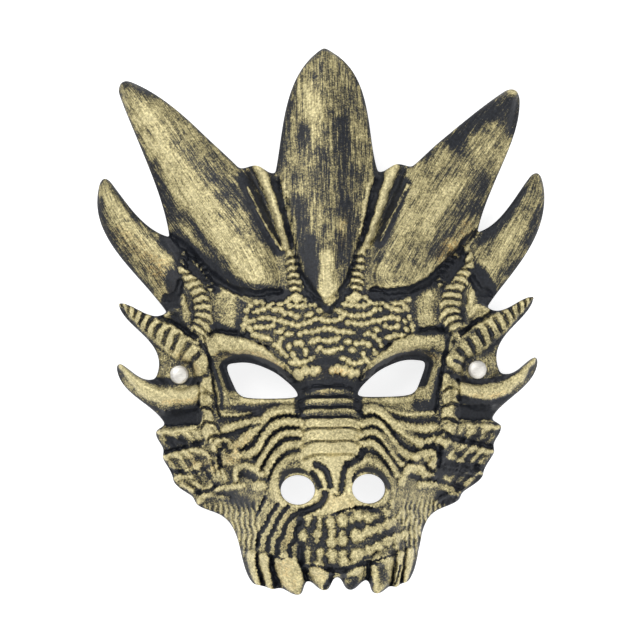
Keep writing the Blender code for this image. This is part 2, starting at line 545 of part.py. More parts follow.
def settle(across, up):
    """Where a place on the even face lies on the cast one, whose middle and jaw lean and horns differ."""
    side = np.abs(across)
    crown = FOLD_LEAN - (FOLD_LEAN + CAST_LEAN) * smoothstep(14.0, 22.0, side)
    middle = smoothstep(26.0, 34.0, up) * smoothstep(72.0, 60.0, up) * smoothstep(25.0, 20.0, side)
    jaw = smoothstep(30.0, 12.0, up) * smoothstep(9.0, 15.0, side)
    teeth = smoothstep(8.0, 2.0, up) * smoothstep(14.0, 7.0, side)
    moved_a = (across + crown * smoothstep(56.0, 72.0, up) - FACE_LEAN * middle - JAW_LEAN * jaw
               + TEETH_SHIFT * teeth)
    moved_b = up - HORN_SKEW * smoothstep(74.0, 93.0, up) * across / OUTLINE["horn tip"][0]
    return moved_a, moved_b


def hex_points(step, loops):
    """Evenly spread points inside the outline, clear of every loop."""
    low, high = loops[0].min(0), loops[0].max(0)
    rows = np.arange(low[1], high[1], step * math.sqrt(0.75))
    columns = np.arange(low[0], high[0], step)
    across = np.concatenate([columns + (0.5 * step if index % 2 else 0.0) for index in range(len(rows))])
    up = np.repeat(rows, len(columns))
    kept = on_material(loops, across, up)
    across, up = across[kept], up[kept]
    clear = loop_distance(loops, across, up) > 0.62 * step
    return across[clear], up[clear]


def shell_mesh():
    """The shell as front and back sheets over one triangulation, joined round every loop."""
    step = 100.0 / SAMPLES_PER_HEIGHT
    loops = face_loops(step)
    inner_a, inner_b = hex_points(step, loops)
    points, edges = [], []
    for loop in loops:
        first = len(points)
        points.extend(Vector(point) for point in loop)
        edges.extend((first + k, first + (k + 1) % len(loop)) for k in range(len(loop)))
    points.extend(Vector(point) for point in zip(inner_a, inner_b))
    vertices, _, faces, _, _, _ = delaunay_2d_cdt(points, edges, [], 0, 1e-6)
    plane = np.array([tuple(vertex) for vertex in vertices])
    middles = plane[np.array(faces)].mean(axis=1)
    kept = on_material(loops, middles[:, 0], middles[:, 1])
    faces = [corners for corners, keep in zip(faces, kept) if keep]
    face = Face()
    front, back = face.surfaces(plane[:, 0], plane[:, 1])
    moved_a, moved_b = settle(plane[:, 0], plane[:, 1])
    count = len(plane)
    places = np.concatenate([np.column_stack([moved_a, moved_b, front]),
                             np.column_stack([moved_a, moved_b, back])]) * UNIT
    borders = {}
    for corners in faces:
        for k, corner in enumerate(corners):
            borders[(corner, corners[(k + 1) % len(corners)])] = True
    rims = [(b, a, a + count, b + count) for a, b in borders if (b, a) not in borders]
    sheets = [tuple(corners) for corners in faces]
    sheets += [tuple(corner + count for corner in reversed(corners)) for corners in faces]
    mesh = bpy.data.meshes.new("mask_shell")
    mesh.from_pydata(places.tolist(), [], sheets + rims)
    mesh.validate()
    return mesh


def principled(name, colour, roughness, metallic):
    """A plain material of the piece's colour."""
    material = bpy.data.materials.new(name)
    material.use_nodes = True
    shader = material.node_tree.nodes["Principled BSDF"]
    shader.inputs["Base Color"].default_value = colour + (1.0,)
    shader.inputs["Roughness"].default_value = roughness
    shader.inputs["Metallic"].default_value = metallic
    return material


def rivet_place(side):
    """Where the rivet of one side stands in the plane, in metres."""
    place_a, place_b = settle(np.array([side * RIVET[0]]), np.array([RIVET[1]]))
    return place_a[0] * UNIT, place_b[0] * UNIT


def make_shell(collection, material):
    """The moulded shell, thinned to few faces where it is smooth."""
    mesh = shell_mesh()
    shell = bpy.data.objects.new("mask_shell", mesh)
    collection.objects.link(shell)
    mesh.materials.append(material)
    triangles = sum(len(polygon.vertices) - 2 for polygon in mesh.polygons)
    thin = shell.modifiers.new("thin", "DECIMATE")
    thin.ratio = SHELL_TRIANGLES / triangles
    thin.use_collapse_triangulate = True
    free = shell.vertex_groups.new(name="free")
    pad = (RIVET_PAD + 0.5) * UNIT
    centres = [rivet_place(side) for side in (-1.0, 1.0)]
    free.add([vertex.index for vertex in mesh.vertices
              if min(math.dist(vertex.co[:2], centre) for centre in centres) > pad], 1.0, "REPLACE")
    thin.vertex_group = free.name
    mesh.shade_smooth()
    return shell


def rivet_profile():
    """Half section of a rivet about its axis, from the top of its dome down to its flat foot."""
    pad_front = FORM["rivet"][2] * UNIT
    seat = pad_front + FIT_GAP
    foot = pad_front - WALL - FIT_GAP
    profile = [(0.0, seat + HEAD_EDGE + HEAD_RISE)]
    for share in (0.25, 0.5, 0.75):
        turn = share * math.pi / 2
        profile.append((HEAD_RADIUS * math.sin(turn), seat + HEAD_EDGE + HEAD_RISE * math.cos(turn)))
    profile += [(HEAD_RADIUS, seat + HEAD_EDGE), (HEAD_RADIUS, seat), (SHANK_RADIUS, seat),
                (SHANK_RADIUS, foot), (WASHER_RADIUS, foot), (WASHER_RADIUS, foot - WASHER_THICKNESS),
                (0.0, foot - WASHER_THICKNESS)]
    return profile


def make_rivet(name, side, collection, material):
    """A domed rivet through the temple, with a flat head behind for the strap."""
    profile = rivet_profile()
    mesh = bpy.data.meshes.new(name)
    mesh.from_pydata([(x, 0.0, z) for x, z in profile], [(k, k + 1) for k in range(len(profile) - 1)], [])
    rivet = bpy.data.objects.new(name, mesh)
    collection.objects.link(rivet)
    rivet.location = rivet_place(side) + (0.0,)
    mesh.materials.append(material)
    turned = rivet.modifiers.new("turned", "SCREW")
    turned.steps = RIVET_SIDES
    turned.render_steps = RIVET_SIDES
    turned.use_merge_vertices = True
    turned.merge_threshold = 0.00001
    return rivet


def stand_on_origin(pieces):
    """Move the pieces so that the mask lies on the origin, centred over it."""
    bpy.context.view_layer.update()
    graph = bpy.context.evaluated_depsgraph_get()
    corners = []
    for piece in pieces:
        mesh = piece.evaluated_get(graph).to_mesh()
        corners += [piece.matrix_world @ vertex.co for vertex in mesh.vertices]
    low = [min(corner[k] for corner in corners) for k in range(3)]
    high = [max(corner[k] for corner in corners) for k in range(3)]
    shift = Vector((-(low[0] + high[0]) / 2, -(low[1] + high[1]) / 2, -low[2]))
    for piece in pieces:
        piece.location = piece.location + shift


def main():
    """Build the mask."""
    clear_scene()
    collection = bpy.data.collections.new("dragon_mask")
    bpy.context.scene.collection.children.link(collection)
    gilt = principled("moulded_gold_black", (0.36, 0.30, 0.15), 0.45, 0.3)
    nickel = principled("nickel", (0.72, 0.70, 0.65), 0.25, 1.0)
    pieces = [make_shell(collection, gilt)]
    for name, side in (("rivet_left", -1.0), ("rivet_right", 1.0)):
        pieces.append(make_rivet(name, side, collection, nickel.copy()))
    stand_on_origin(pieces)


main()
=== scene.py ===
"""Looks of the dragon mask: fine carving, gold dry-brushed over a black skin, nickel rivets, and a studio.

Places on the face are (across, up) in hundredths of the mask's height, as in the model: across from
the middle of the face, up from the tips of the fangs. Heights are in the same hundredths, above the
surface that the mask lies on. Traced lines and chains of scales are placed by where they show in the
photo, and then lie on the form below them.
"""
import math

import bpy
import numpy as np
from mathutils import Matrix, Vector
from mathutils.geometry import delaunay_2d_cdt


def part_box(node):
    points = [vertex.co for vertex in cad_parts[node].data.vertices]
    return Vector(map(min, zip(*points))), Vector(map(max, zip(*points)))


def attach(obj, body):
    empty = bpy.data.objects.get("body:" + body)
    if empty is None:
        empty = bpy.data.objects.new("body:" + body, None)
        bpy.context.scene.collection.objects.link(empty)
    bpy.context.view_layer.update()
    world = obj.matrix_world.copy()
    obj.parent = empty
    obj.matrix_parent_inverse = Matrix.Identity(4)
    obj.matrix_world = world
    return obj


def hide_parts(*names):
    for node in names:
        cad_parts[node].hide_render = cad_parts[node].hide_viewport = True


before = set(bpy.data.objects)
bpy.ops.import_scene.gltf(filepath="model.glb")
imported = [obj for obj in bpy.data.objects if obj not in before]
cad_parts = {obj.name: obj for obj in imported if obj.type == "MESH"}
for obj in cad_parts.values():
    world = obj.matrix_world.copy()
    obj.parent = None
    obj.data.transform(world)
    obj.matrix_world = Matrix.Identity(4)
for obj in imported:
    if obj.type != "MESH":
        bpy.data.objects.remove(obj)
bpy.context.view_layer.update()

# Driving dimensions, in metres, as in the model
MASK_HEIGHT = 0.295
WALL = 0.0036
FIT_GAP = 0.0003
SHANK_RADIUS = 0.0017
HEAD_RADIUS = 0.0052
WASHER_RADIUS = 0.0046
WASHER_THICKNESS = 0.0010
PAD_MARGIN = 0.0016

UNIT = MASK_HEIGHT / 100.0
WALL_UNITS = WALL / UNIT
HOLE_RADIUS = SHANK_RADIUS + FIT_GAP
MAX_WALL_STRETCH = 2.4

# How far apart the points of the surface are, in metres
EDGE_STEP = 0.00085
FACE_STEP = 0.00068
HORN_STEP = 0.00115
BACK_STEP = 0.0024
# How many points each rivet's hole has, and up to where the front has the finer step
BORE_POINTS = 24
FACE_TOP = 63.0
# How far in from its edges the front is rounded off, and how much lower the edges are
EDGE_ROUND = 0.35
EDGE_DROP = 0.16

# The camera: how the photo was taken, and how far it stands off
CAMERA_DISTANCE = 3.0
CAMERA_YAW = math.radians(-1.85)
CAMERA_PITCH = math.radians(-1.85)
CAMERA_ROLL = math.radians(-0.97)
CAMERA_AIM = Vector((-0.0025, -0.0001, 0.03))
METRES_PER_PIXEL = 0.000539
PHOTO_SIZE = 640.0
SENSOR = 36.0
# Rounds in which a place that shows at a pixel is found on the face
PLACE_ROUNDS = 5

# The half outline from the tip of the crown down to the gap between the middle teeth. Each corner
# is (across, up, bulge near it, bulge near the next corner): bulges are shares of the edge's
# length, outwards, at a third and two thirds of the way.
OUTLINE = {
    "crown tip": (0.0, 100.0, 0.26, 0.037),
    "crown notch": (9.4, 76.9, -0.19, 0.145),
    "fold tip": (13.3, 78.3, 0.07, -0.15),
    "horn notch": (15.9, 77.9, 0.018, 0.065),
    "horn tip": (34.6, 93.3, 0.45, 0.42),
    "horn tip side": (37.0, 91.5, 0.048, -0.05),
    "side horn notch": (28.3, 65.7, -0.164, -0.032),
    "side horn tip": (38.95, 76.4, 0.51, 0.40),
    "side horn tip side": (40.75, 75.85, 0.255, 0.043),
    "ribbed spike notch": (29.4, 51.9, -0.315, 0.095),
    "ribbed spike tip": (38.3, 53.8, 0.085, -0.375),
    "smooth spike notch": (31.7, 39.8, -0.29, -0.016),
    "smooth spike tip": (37.95, 42.6, 0.52, 0.42),
    "smooth spike tip side": (38.8, 42.0, 0.213, -0.067),
    "fin notch": (30.1, 31.5, -0.21, 0.155),
    "first fin": (31.8, 30.1, 0.19, -0.01),
    "first fin notch": (30.5, 27.1, -0.16, 0.065),
    "second fin": (30.5, 25.1, -0.015, -0.13),
    "third fin": (28.5, 21.0, 0.13, 0.005),
    "third fin notch": (24.8, 18.0, -0.045, 0.085),
    "fourth fin": (24.1, 16.6, 0.08, -0.065),
    "cheek corner": (19.3, 14.3, -0.18, 0.105),
    "jaw corner": (14.0, 1.9, -0.05, -0.095),
    "first tooth": (11.4, 1.0, 0.13, -0.11),
    "first tooth notch": (9.8, 1.2, 0.015, 0.25),
    "fang": (6.7, 0.0, 0.19, -0.235),
    "fang notch": (5.3, 2.45, -0.13, 0.255),
    "middle tooth": (2.05, 0.7, 0.2, -0.255),
    "middle notch": (0.0, 3.1, 0.0, 0.0),
}
# How much more an edge bulges on the right than on the mean of the two sides
LOPSIDED = {"crown tip": (0.042, -0.009), "horn notch": (-0.035, -0.031),
            "horn tip side": (0.049, 0.036)}
EYE = [(18.1, 41.6), (16.4, 42.3), (13.5, 42.1), (9.9, 40.6), (7.3, 38.6), (5.7, 36.8), (5.9, 35.8),
       (9.5, 35.6), (14.1, 35.8), (16.0, 36.5), (17.0, 38.2)]
NOSTRIL = (6.4, 18.9)
NOSTRIL_RADII = (3.05, 2.65)
RIVET = (27.3, 40.4)
RIVET_PAD = (max(HEAD_RADIUS, WASHER_RADIUS) + PAD_MARGIN) / UNIT

# Heights of the smooth form at named places: (across, up, height)
FORM = {
    "crown tip": (0, 100, 5.2), "crown upper": (0, 85, 7.8), "crown lower": (0, 70, 10.8),
    "crown root": (0, 58, 13.2), "forehead": (0, 48, 14.8), "between brows": (0, 41, 15.4),
    "nose root": (0, 36, 15.8), "bridge": (0, 30, 18.0), "bridge end": (0, 25, 20.4),
    "nose top": (0, 21, 22.0), "nose tip": (0, 16, 22.9), "lip": (0, 11, 23.2),
    "lip edge": (0, 6, 22.4), "middle teeth": (0, 1, 20.4),
    "crown side": (9, 82, 6.9), "crown shoulder": (7, 92, 5.0), "crown notch": (9.4, 77, 8.6),
    "fold tip": (13, 78, 8.6), "horn notch": (16, 78, 7.8), "horn middle": (25, 80, 4.8),
    "horn tip": (36, 93, 1.1), "horn outside": (30, 75, 3.2), "side horn notch": (28.3, 65.7, 4.6),
    "horn root": (14, 60, 11.8), "horn root outside": (22, 62, 8.0),
    "side horn tip": (40, 77, 1.1), "side horn middle": (36, 66, 2.4), "side horn root": (28, 56, 5.6),
    "ribbed spike notch": (29.5, 52, 4.6), "ribbed spike tip": (38.2, 53.8, 1.1),
    "ribbed spike root": (25, 46, 7.8), "smooth spike tip": (38.5, 42.6, 1.1),
    "smooth spike notch": (31.7, 39.8, 3.4), "smooth spike root": (25, 37, 7.0),
    "rivet": (27.3, 40.4, 5.6), "temple": (21, 50, 10.2), "temple front": (16, 52, 12.2),
    "brow outside": (20, 45, 10.4), "brow middle": (13, 45, 13.6), "brow inside": (7, 40, 15.0),
    "eye outside": (18, 39, 10.6), "eye middle": (12, 38, 13.2), "eye inside": (6, 36, 14.8),
    "cheekbone": (19, 33, 9.8), "under eye": (13, 33, 13.0), "snout side": (6, 30, 16.4),
    "snout flank": (8, 25, 16.6), "nostril wing": (8, 20, 19.6), "nostril": (5, 19, 21.6),
    "cheek": (24, 30, 6.6), "first fin": (30, 30, 2.6), "cheek fold": (20, 25, 8.4),
    "third fin": (28.5, 21, 1.2), "fourth fin": (24, 17, 1.2), "cheek corner": (19.3, 14.4, 3.6),
    "valley": (15, 25, 12.2), "lower valley": (16, 19, 10.2), "muzzle flank": (12, 15, 18.0),
    "muzzle side": (15.2, 9, 13.6), "jaw corner": (14, 2, 14.2), "muzzle front": (8, 10, 21.8),
    "lip side": (11, 6, 18.4), "cheek end": (18, 14, 6.6),
}
# How far the scales of the forehead reach to each side at some heights
SCALY_UP = (39.4, 41.9, 44.8, 46.6, 47.8, 54.0)
SCALY_REACH = (6.1, 8.2, 11.4, 14.8, 16.6, 16.2)
# The lower edge of the lip, and how far the gums lie behind it
LIP_LINE = [(0.0, 3.4), (3.0, 4.0), (6.0, 4.9), (10.0, 5.9), (13.0, 6.8), (16.5, 8.4)]
GUM_DROP = 1.4
# How the two sides differ: how far parts lean to one side, how much the horns differ in height
CAST_LEAN = 0.65
FOLD_LEAN = 0.2
FACE_LEAN = 0.45
JAW_LEAN = 0.45
HORN_SKEW = 1.24
TEETH_SHIFT = 0.5

# Horns and spikes: (across, up, half width) along the spine, and the rise of the vault
CROWN = ([(0, 52.0, 1.5), (0, 58, 5.2), (0, 66, 7.0), (0, 77, 9.2), (0, 84, 9.0), (0, 92, 6.6),
          (0, 97, 3.6), (0, 100.4, 0.6)], 1.7)
HORN = ([(12.5, 57.5, 4.2), (16.5, 64.5, 7.4), (21.3, 71.5, 8.8), (26.2, 79.0, 7.2), (31.4, 86.6, 4.4),
         (36.3, 93.6, 0.8)], 1.8)
SIDE_HORN = ([(27.6, 54.4, 3.0), (31.5, 60.4, 4.4), (35.4, 66.4, 4.3), (38.6, 72.0, 2.6),
              (40.1, 77.0, 0.5)], 1.2)
SMOOTH_SPIKE = ([(23.8, 36.6, 1.9), (28.0, 35.6, 2.9), (32.2, 36.7, 2.9), (35.6, 39.3, 1.9),
                 (38.6, 42.8, 0.4)], 1.3)
RIBBED_SPIKE = [(38.3, 54.0, 0.4), (34.4, 51.6, 1.8), (30.9, 48.6, 2.4), (28.0, 46.4, 2.5),
                (25.6, 44.4, 2.5), (23.8, 42.2, 2.2)]
INNER_HORN = [(25.9, 62.6, 0.7), (26.3, 59.9, 1.0), (25.2, 57.8, 1.25), (23.8, 55.7, 1.5),
              (22.8, 53.3, 1.75), (22.6, 50.4, 2.0), (23.5, 47.6, 2.0)]
BRAID = [(24.2, 61.3, 0.6), (21.9, 59.0, 0.8), (21.0, 56.0, 0.9)]
FOLD_ROD = [(6.3, 62.0, 1.1), (5.8, 58.0, 1.3), (5.4, 54.0, 1.2)]
PLATE_PATH = [(22.2, 38.4, 1.5), (22.4, 35.0, 1.5), (22.3, 31.6, 1.6), (21.2, 28.6, 1.5), (20.4, 26.6, 1.3)]
# Ribbed parts: (spine, rise, pitch of the slots, their depth, and where they differ from plain ones)
RIBBED = ((RIBBED_SPIKE, 1.3, 1.3, 0.9,
           {"low": -0.62, "high": 0.72, "slant": 0.35, "fill": 0.5, "growth": 0.07}),
          (INNER_HORN, 1.3, 1.55, 0.8, {"low": -0.9, "high": 1.2, "slant": -0.3, "fill": 0.5}),
          (BRAID, 0.7, 1.1, 0.6, {}), (FOLD_ROD, 0.8, 1.3, 0.8, {}),
          (PLATE_PATH, 0.9, 2.75, 0.9, {"fill": 0.3}))

# Folds on both sides: (path with half widths, rise, power); a low power gives a flat top
FOLDS = {
    "fan ridge": ([(12.4, 78.2, 1.3), (10.8, 74.5, 1.1), (9.4, 70.2, 0.9), (7.3, 63.1, 0.6)], 1.3, 1.0),
    "brow": ([(21.2, 45.4, 1.9), (19.0, 45.9, 1.8), (15.0, 45.3, 1.65), (11.3, 43.5, 1.35),
              (8.2, 41.1, 0.95), (6.4, 39.0, 0.6)], 1.4, 0.6),
    "smooth spike back": ([(23.9, 36.9, 1.5), (27.6, 36.4, 1.75), (31.4, 36.9, 1.7), (34.8, 39.0, 1.3),
                           (38.2, 42.4, 0.4)], 1.2, 0.8),
    "temple fold": ([(26.6, 54.6, 0.6), (25.9, 51.6, 0.8), (25.2, 48.4, 0.6)], 0.7, 1.0),
    "panel fold": ([(29.4, 51.4, 0.5), (27.6, 52.0, 0.8), (26.2, 50.2, 0.6)], 0.7, 1.0),
}
# Grooves on both sides: (path with half widths, depth)
GROOVES = {
    "crown root": ([(9.0, 75.6, 0.5), (7.9, 72.0, 0.5), (6.7, 66.0, 0.5), (4.6, 58.4, 0.6),
                    (2.4, 54.8, 0.6), (0.0, 53.0, 0.6)], 0.8),
    "fan valley": ([(13.8, 77.0, 0.9), (11.2, 71.0, 0.8), (8.2, 63.8, 0.6)], 0.7),
    "horn root": ([(28.0, 66.0, 0.5), (25.4, 63.6, 0.8), (21.4, 59.0, 0.9), (17.6, 56.0, 0.9),
                   (13.2, 54.8, 0.8), (8.4, 55.2, 0.6)], 1.0),
    "side horn root": ([(29.6, 54.4, 0.9), (27.8, 54.9, 1.0), (26.6, 57.4, 0.7)], 0.9),
    "spike upper edge": ([(35.6, 54.0, 0.4), (30.4, 50.8, 0.6), (26.8, 48.9, 0.6), (24.2, 47.0, 0.5)], 0.9),
    "temple seam": ([(22.6, 47.2, 0.35), (21.7, 44.0, 0.4), (21.0, 40.0, 0.35), (20.3, 35.6, 0.35),
                     (19.8, 32.6, 0.35)], 0.7),
    "spike end": ([(23.8, 38.6, 0.4), (23.6, 36.6, 0.4), (23.8, 34.8, 0.4)], 0.8),
    "first tooth gap": ([(13.4, 7.0, 0.35), (13.0, 4.2, 0.4), (12.3, 1.7, 0.35)], 0.9),
    "second tooth gap": ([(11.3, 6.7, 0.4), (11.0, 4.0, 0.45), (10.1, 1.4, 0.4)], 1.0),
    "third tooth gap": ([(6.2, 5.8, 0.5), (5.8, 3.8, 0.5), (5.3, 2.4, 0.4)], 1.0),
    "brow top": ([(21.4, 47.8, 0.3), (18.6, 48.0, 0.45), (15.4, 47.2, 0.45), (12.0, 45.6, 0.4),
                  (9.2, 43.0, 0.4), (6.2, 39.4, 0.3)], 0.7),
}
# Grooves across the nose: (level, how far it reaches to each side)
NOSE_GROOVES = ((37.6, 4.4), (35.6, 5.2), (33.7, 5.7), (31.9, 5.8), (29.9, 5.7), (27.5, 5.4), (25.1, 5.0))
NOSE_GROOVE_DEPTH = 0.6
BRIDGE_RISE = 0.45
NOSTRIL_RIM = 0.7
# Ripples on the jaw and ribs on the fins: rise, pitch, and how the ripples bend
JAW_RISE, JAW_PITCH, JAW_BEND = 0.32, 0.92, 0.0144
RIB_RISE, RIB_PITCH = 0.26, 2.2
RECESS = [(30.6, 32.5, 1.45), (24.6, 32.6, 1.45)]
RECESS_DEPTH = 1.2
# Teeth: (root across, root up, tip across, tip up, half width at the root)
TEETH = ((14.4, 7.2, 13.3, 1.6, 1.0), (12.4, 6.6, 11.2, 0.4, 1.1), (8.7, 5.6, 7.1, -0.2, 2.2),
         (3.3, 4.4, 2.2, 0.2, 1.7))
TOOTH_RISE = 1.5

# Fins of the cheek: (root across, root up, tip across, tip up, half width at the root)
FINS = ((22.4, 29.2, 31.9, 30.0, 1.6), (22.2, 26.8, 30.9, 25.2, 1.5), (21.6, 24.2, 28.9, 20.9, 1.6),
        (19.8, 21.2, 24.3, 16.6, 1.7))
FIN_RISE = 0.9

# Enlargements of the photo that some places were read from: (left, top, scale)
ENLARGED = {"left brow": (235.0, 285.0, 15.68), "right brow": (325.0, 285.0, 15.68),
            "left": (60.0, 230.0, 5.6), "right": (310.0, 230.0, 5.6), "left cheek": (160.0, 385.0, 11.2),
            "left horns": (60.0, 30.0, 5.6), "right horns": (310.0, 30.0, 5.6),
            "snout": (255.0, 495.0, 8.476), "nose": (230.0, 370.0, 6.815), "forehead": (240.0, 290.0, 9.8),
            "right temple": (380.0, 240.0, 8.711), "right fins": (400.0, 380.0, 13.07)}
# The lines below were read from these. A row gives an amount, a half width, and then across and
# down for each point of its line, all but the amount in pixels of the enlargement.
# Folds (above 0) and grooves (below 0) that differ from side to side; the amount is the rise
TRACED_FOLDS = {
    "left cheek": [
        (1.1, 62, 1520, 290, 1400, 280, 1250, 310, 1130, 430, 1000, 560, 850, 700),
        (1.0, 56, 1560, 420, 1400, 410, 1250, 470, 1150, 600, 1100, 700, 1000, 770, 850, 770),
        (0.8, 80, 740, 830, 840, 830),
        (0.9, 44, 1560, 540, 1400, 540, 1280, 620, 1200, 720, 1150, 820, 1090, 920),
        (0.9, 48, 1560, 660, 1420, 680, 1320, 760, 1240, 860, 1180, 1000),
        (0.5, 45, 1560, 800, 1450, 830, 1380, 880, 1300, 980, 1270, 1100, 1290, 1250, 1380, 1330),
        (-0.6, 20, 1540, 355, 1400, 345, 1250, 390, 1150, 500, 1080, 620, 990, 700, 870, 735),
        (-0.7, 21, 1560, 480, 1350, 500, 1230, 590, 1130, 750, 1060, 830),
        (-0.7, 20, 1560, 600, 1400, 615, 1270, 720, 1180, 850, 1130, 950),
        (-0.6, 18, 1560, 730, 1440, 760, 1340, 830, 1260, 940, 1220, 1060),
        (0.5, 22, 700, 330, 850, 335, 1000, 315), (-0.7, 34, 680, 392, 850, 375, 1000, 350, 1120, 310),
        (0.8, 48, 720, 500, 900, 440, 1080, 390), (-0.5, 26, 690, 570, 850, 535, 1000, 480, 1100, 440),
        (-0.5, 34, 430, 230, 700, 250, 900, 262, 1100, 270),
        (0.7, 30, 600, 720, 620, 650, 700, 610, 780, 640, 790, 700), (0.6, 34, 640, 730, 675, 735),
        (-0.8, 26, 720, 680, 672, 740, 660, 800, 680, 900),
        (0.9, 42, 850, 1050, 850, 960, 900, 915, 980, 905, 1060, 950, 1130, 1000),
        (-0.7, 36, 900, 1010, 980, 1010, 1040, 1040), (0.8, 36, 640, 1170, 780, 1145, 920, 1130),
        (0.9, 66, 1090, 1130, 1130, 1130), (0.5, 22, 560, 870, 600, 1000), (0.5, 22, 620, 860, 660, 1010),
        (0.5, 22, 690, 930, 730, 1060), (-0.6, 22, 480, 900, 550, 1020, 620, 1130),
        (0.6, 24, 0, 530, 150, 520, 400, 465), (-0.9, 32, 50, 755, 200, 725, 400, 670, 470, 640),
        (0.6, 26, 30, 800, 200, 755, 350, 725, 460, 740, 560, 820),
        (-0.9, 32, 130, 960, 290, 985, 450, 960, 600, 870), (0.5, 24, 180, 1090, 400, 1200),
        (0.5, 22, 300, 1060, 480, 1150), (-0.9, 26, 400, 1205, 560, 1180, 650, 1110),
        (0.5, 24, 470, 1235, 600, 1240, 770, 1270)],
    "left horns": [
        (0.5, 10, 1050, 880, 1100, 990, 1160, 1110, 1240, 1230),
        (0.3, 9, 1245, 860, 1270, 1000, 1310, 1190)],
    "right horns": [
        (0.5, 10, 545, 870, 500, 960, 450, 1060, 395, 1180), (0.3, 9, 335, 860, 310, 980, 280, 1180)],
    "right": [
        (1.1, 30, 310, 1010, 360, 1002, 420, 1040, 475, 1090, 535, 1140, 620, 1195),
        (1.0, 28, 300, 1085, 360, 1075, 410, 1105, 450, 1165, 490, 1225, 550, 1265, 590, 1275),
        (0.9, 24, 290, 1145, 350, 1128, 400, 1155, 440, 1210, 480, 1270, 510, 1310),
        (0.9, 24, 290, 1205, 340, 1192, 390, 1225, 430, 1275, 470, 1325, 488, 1370),
        (0.5, 22, 230, 1320, 290, 1290, 360, 1300, 420, 1340, 460, 1400, 468, 1460),
        (-0.7, 11, 300, 1045, 360, 1038, 410, 1070, 450, 1120, 500, 1180, 560, 1225, 600, 1235),
        (-0.6, 10, 290, 1115, 355, 1100, 405, 1130, 445, 1190, 485, 1250, 520, 1290),
        (-0.6, 10, 285, 1175, 345, 1160, 395, 1190, 435, 1245, 475, 1300, 500, 1340),
        (-0.6, 10, 280, 1245, 335, 1240, 385, 1260, 425, 1310, 455, 1370),
        (0.5, 13, 430, 1000, 520, 1030, 620, 1030, 710, 1020),
        (-0.6, 14, 470, 1042, 540, 1065, 620, 1068, 700, 1058),
        (0.8, 25, 510, 1080, 570, 1107, 640, 1114, 700, 1100), (-0.5, 14, 540, 1135, 600, 1155, 670, 1155),
        (0.8, 22, 660, 1182, 700, 1172, 745, 1190, 752, 1240, 735, 1290),
        (0.9, 25, 590, 1270, 640, 1250, 690, 1248, 702, 1290, 680, 1320),
        (-0.8, 15, 640, 1215, 700, 1218, 724, 1270, 716, 1320),
        (0.9, 26, 515, 1410, 540, 1350, 580, 1318, 625, 1330, 640, 1365), (-0.7, 16, 570, 1375, 610, 1392),
        (0.8, 22, 620, 1428, 700, 1422), (0.7, 20, 655, 1365, 690, 1385),
        (-0.6, 14, 560, 1300, 640, 1320, 690, 1350), (0.25, 13, 820, 1090, 940, 1092, 1060, 1104),
        (-0.9, 16, 770, 1152, 850, 1180, 940, 1196, 1020, 1216),
        (0.2, 12, 780, 1190, 880, 1215, 1015, 1245), (-0.9, 18, 730, 1295, 800, 1305, 880, 1318, 965, 1335),
        (0.5, 12, 760, 1345, 860, 1360, 960, 1360), (-0.9, 16, 680, 1390, 740, 1410, 800, 1425, 850, 1445),
        (0.5, 12, 700, 1530, 760, 1490, 835, 1475)],
}
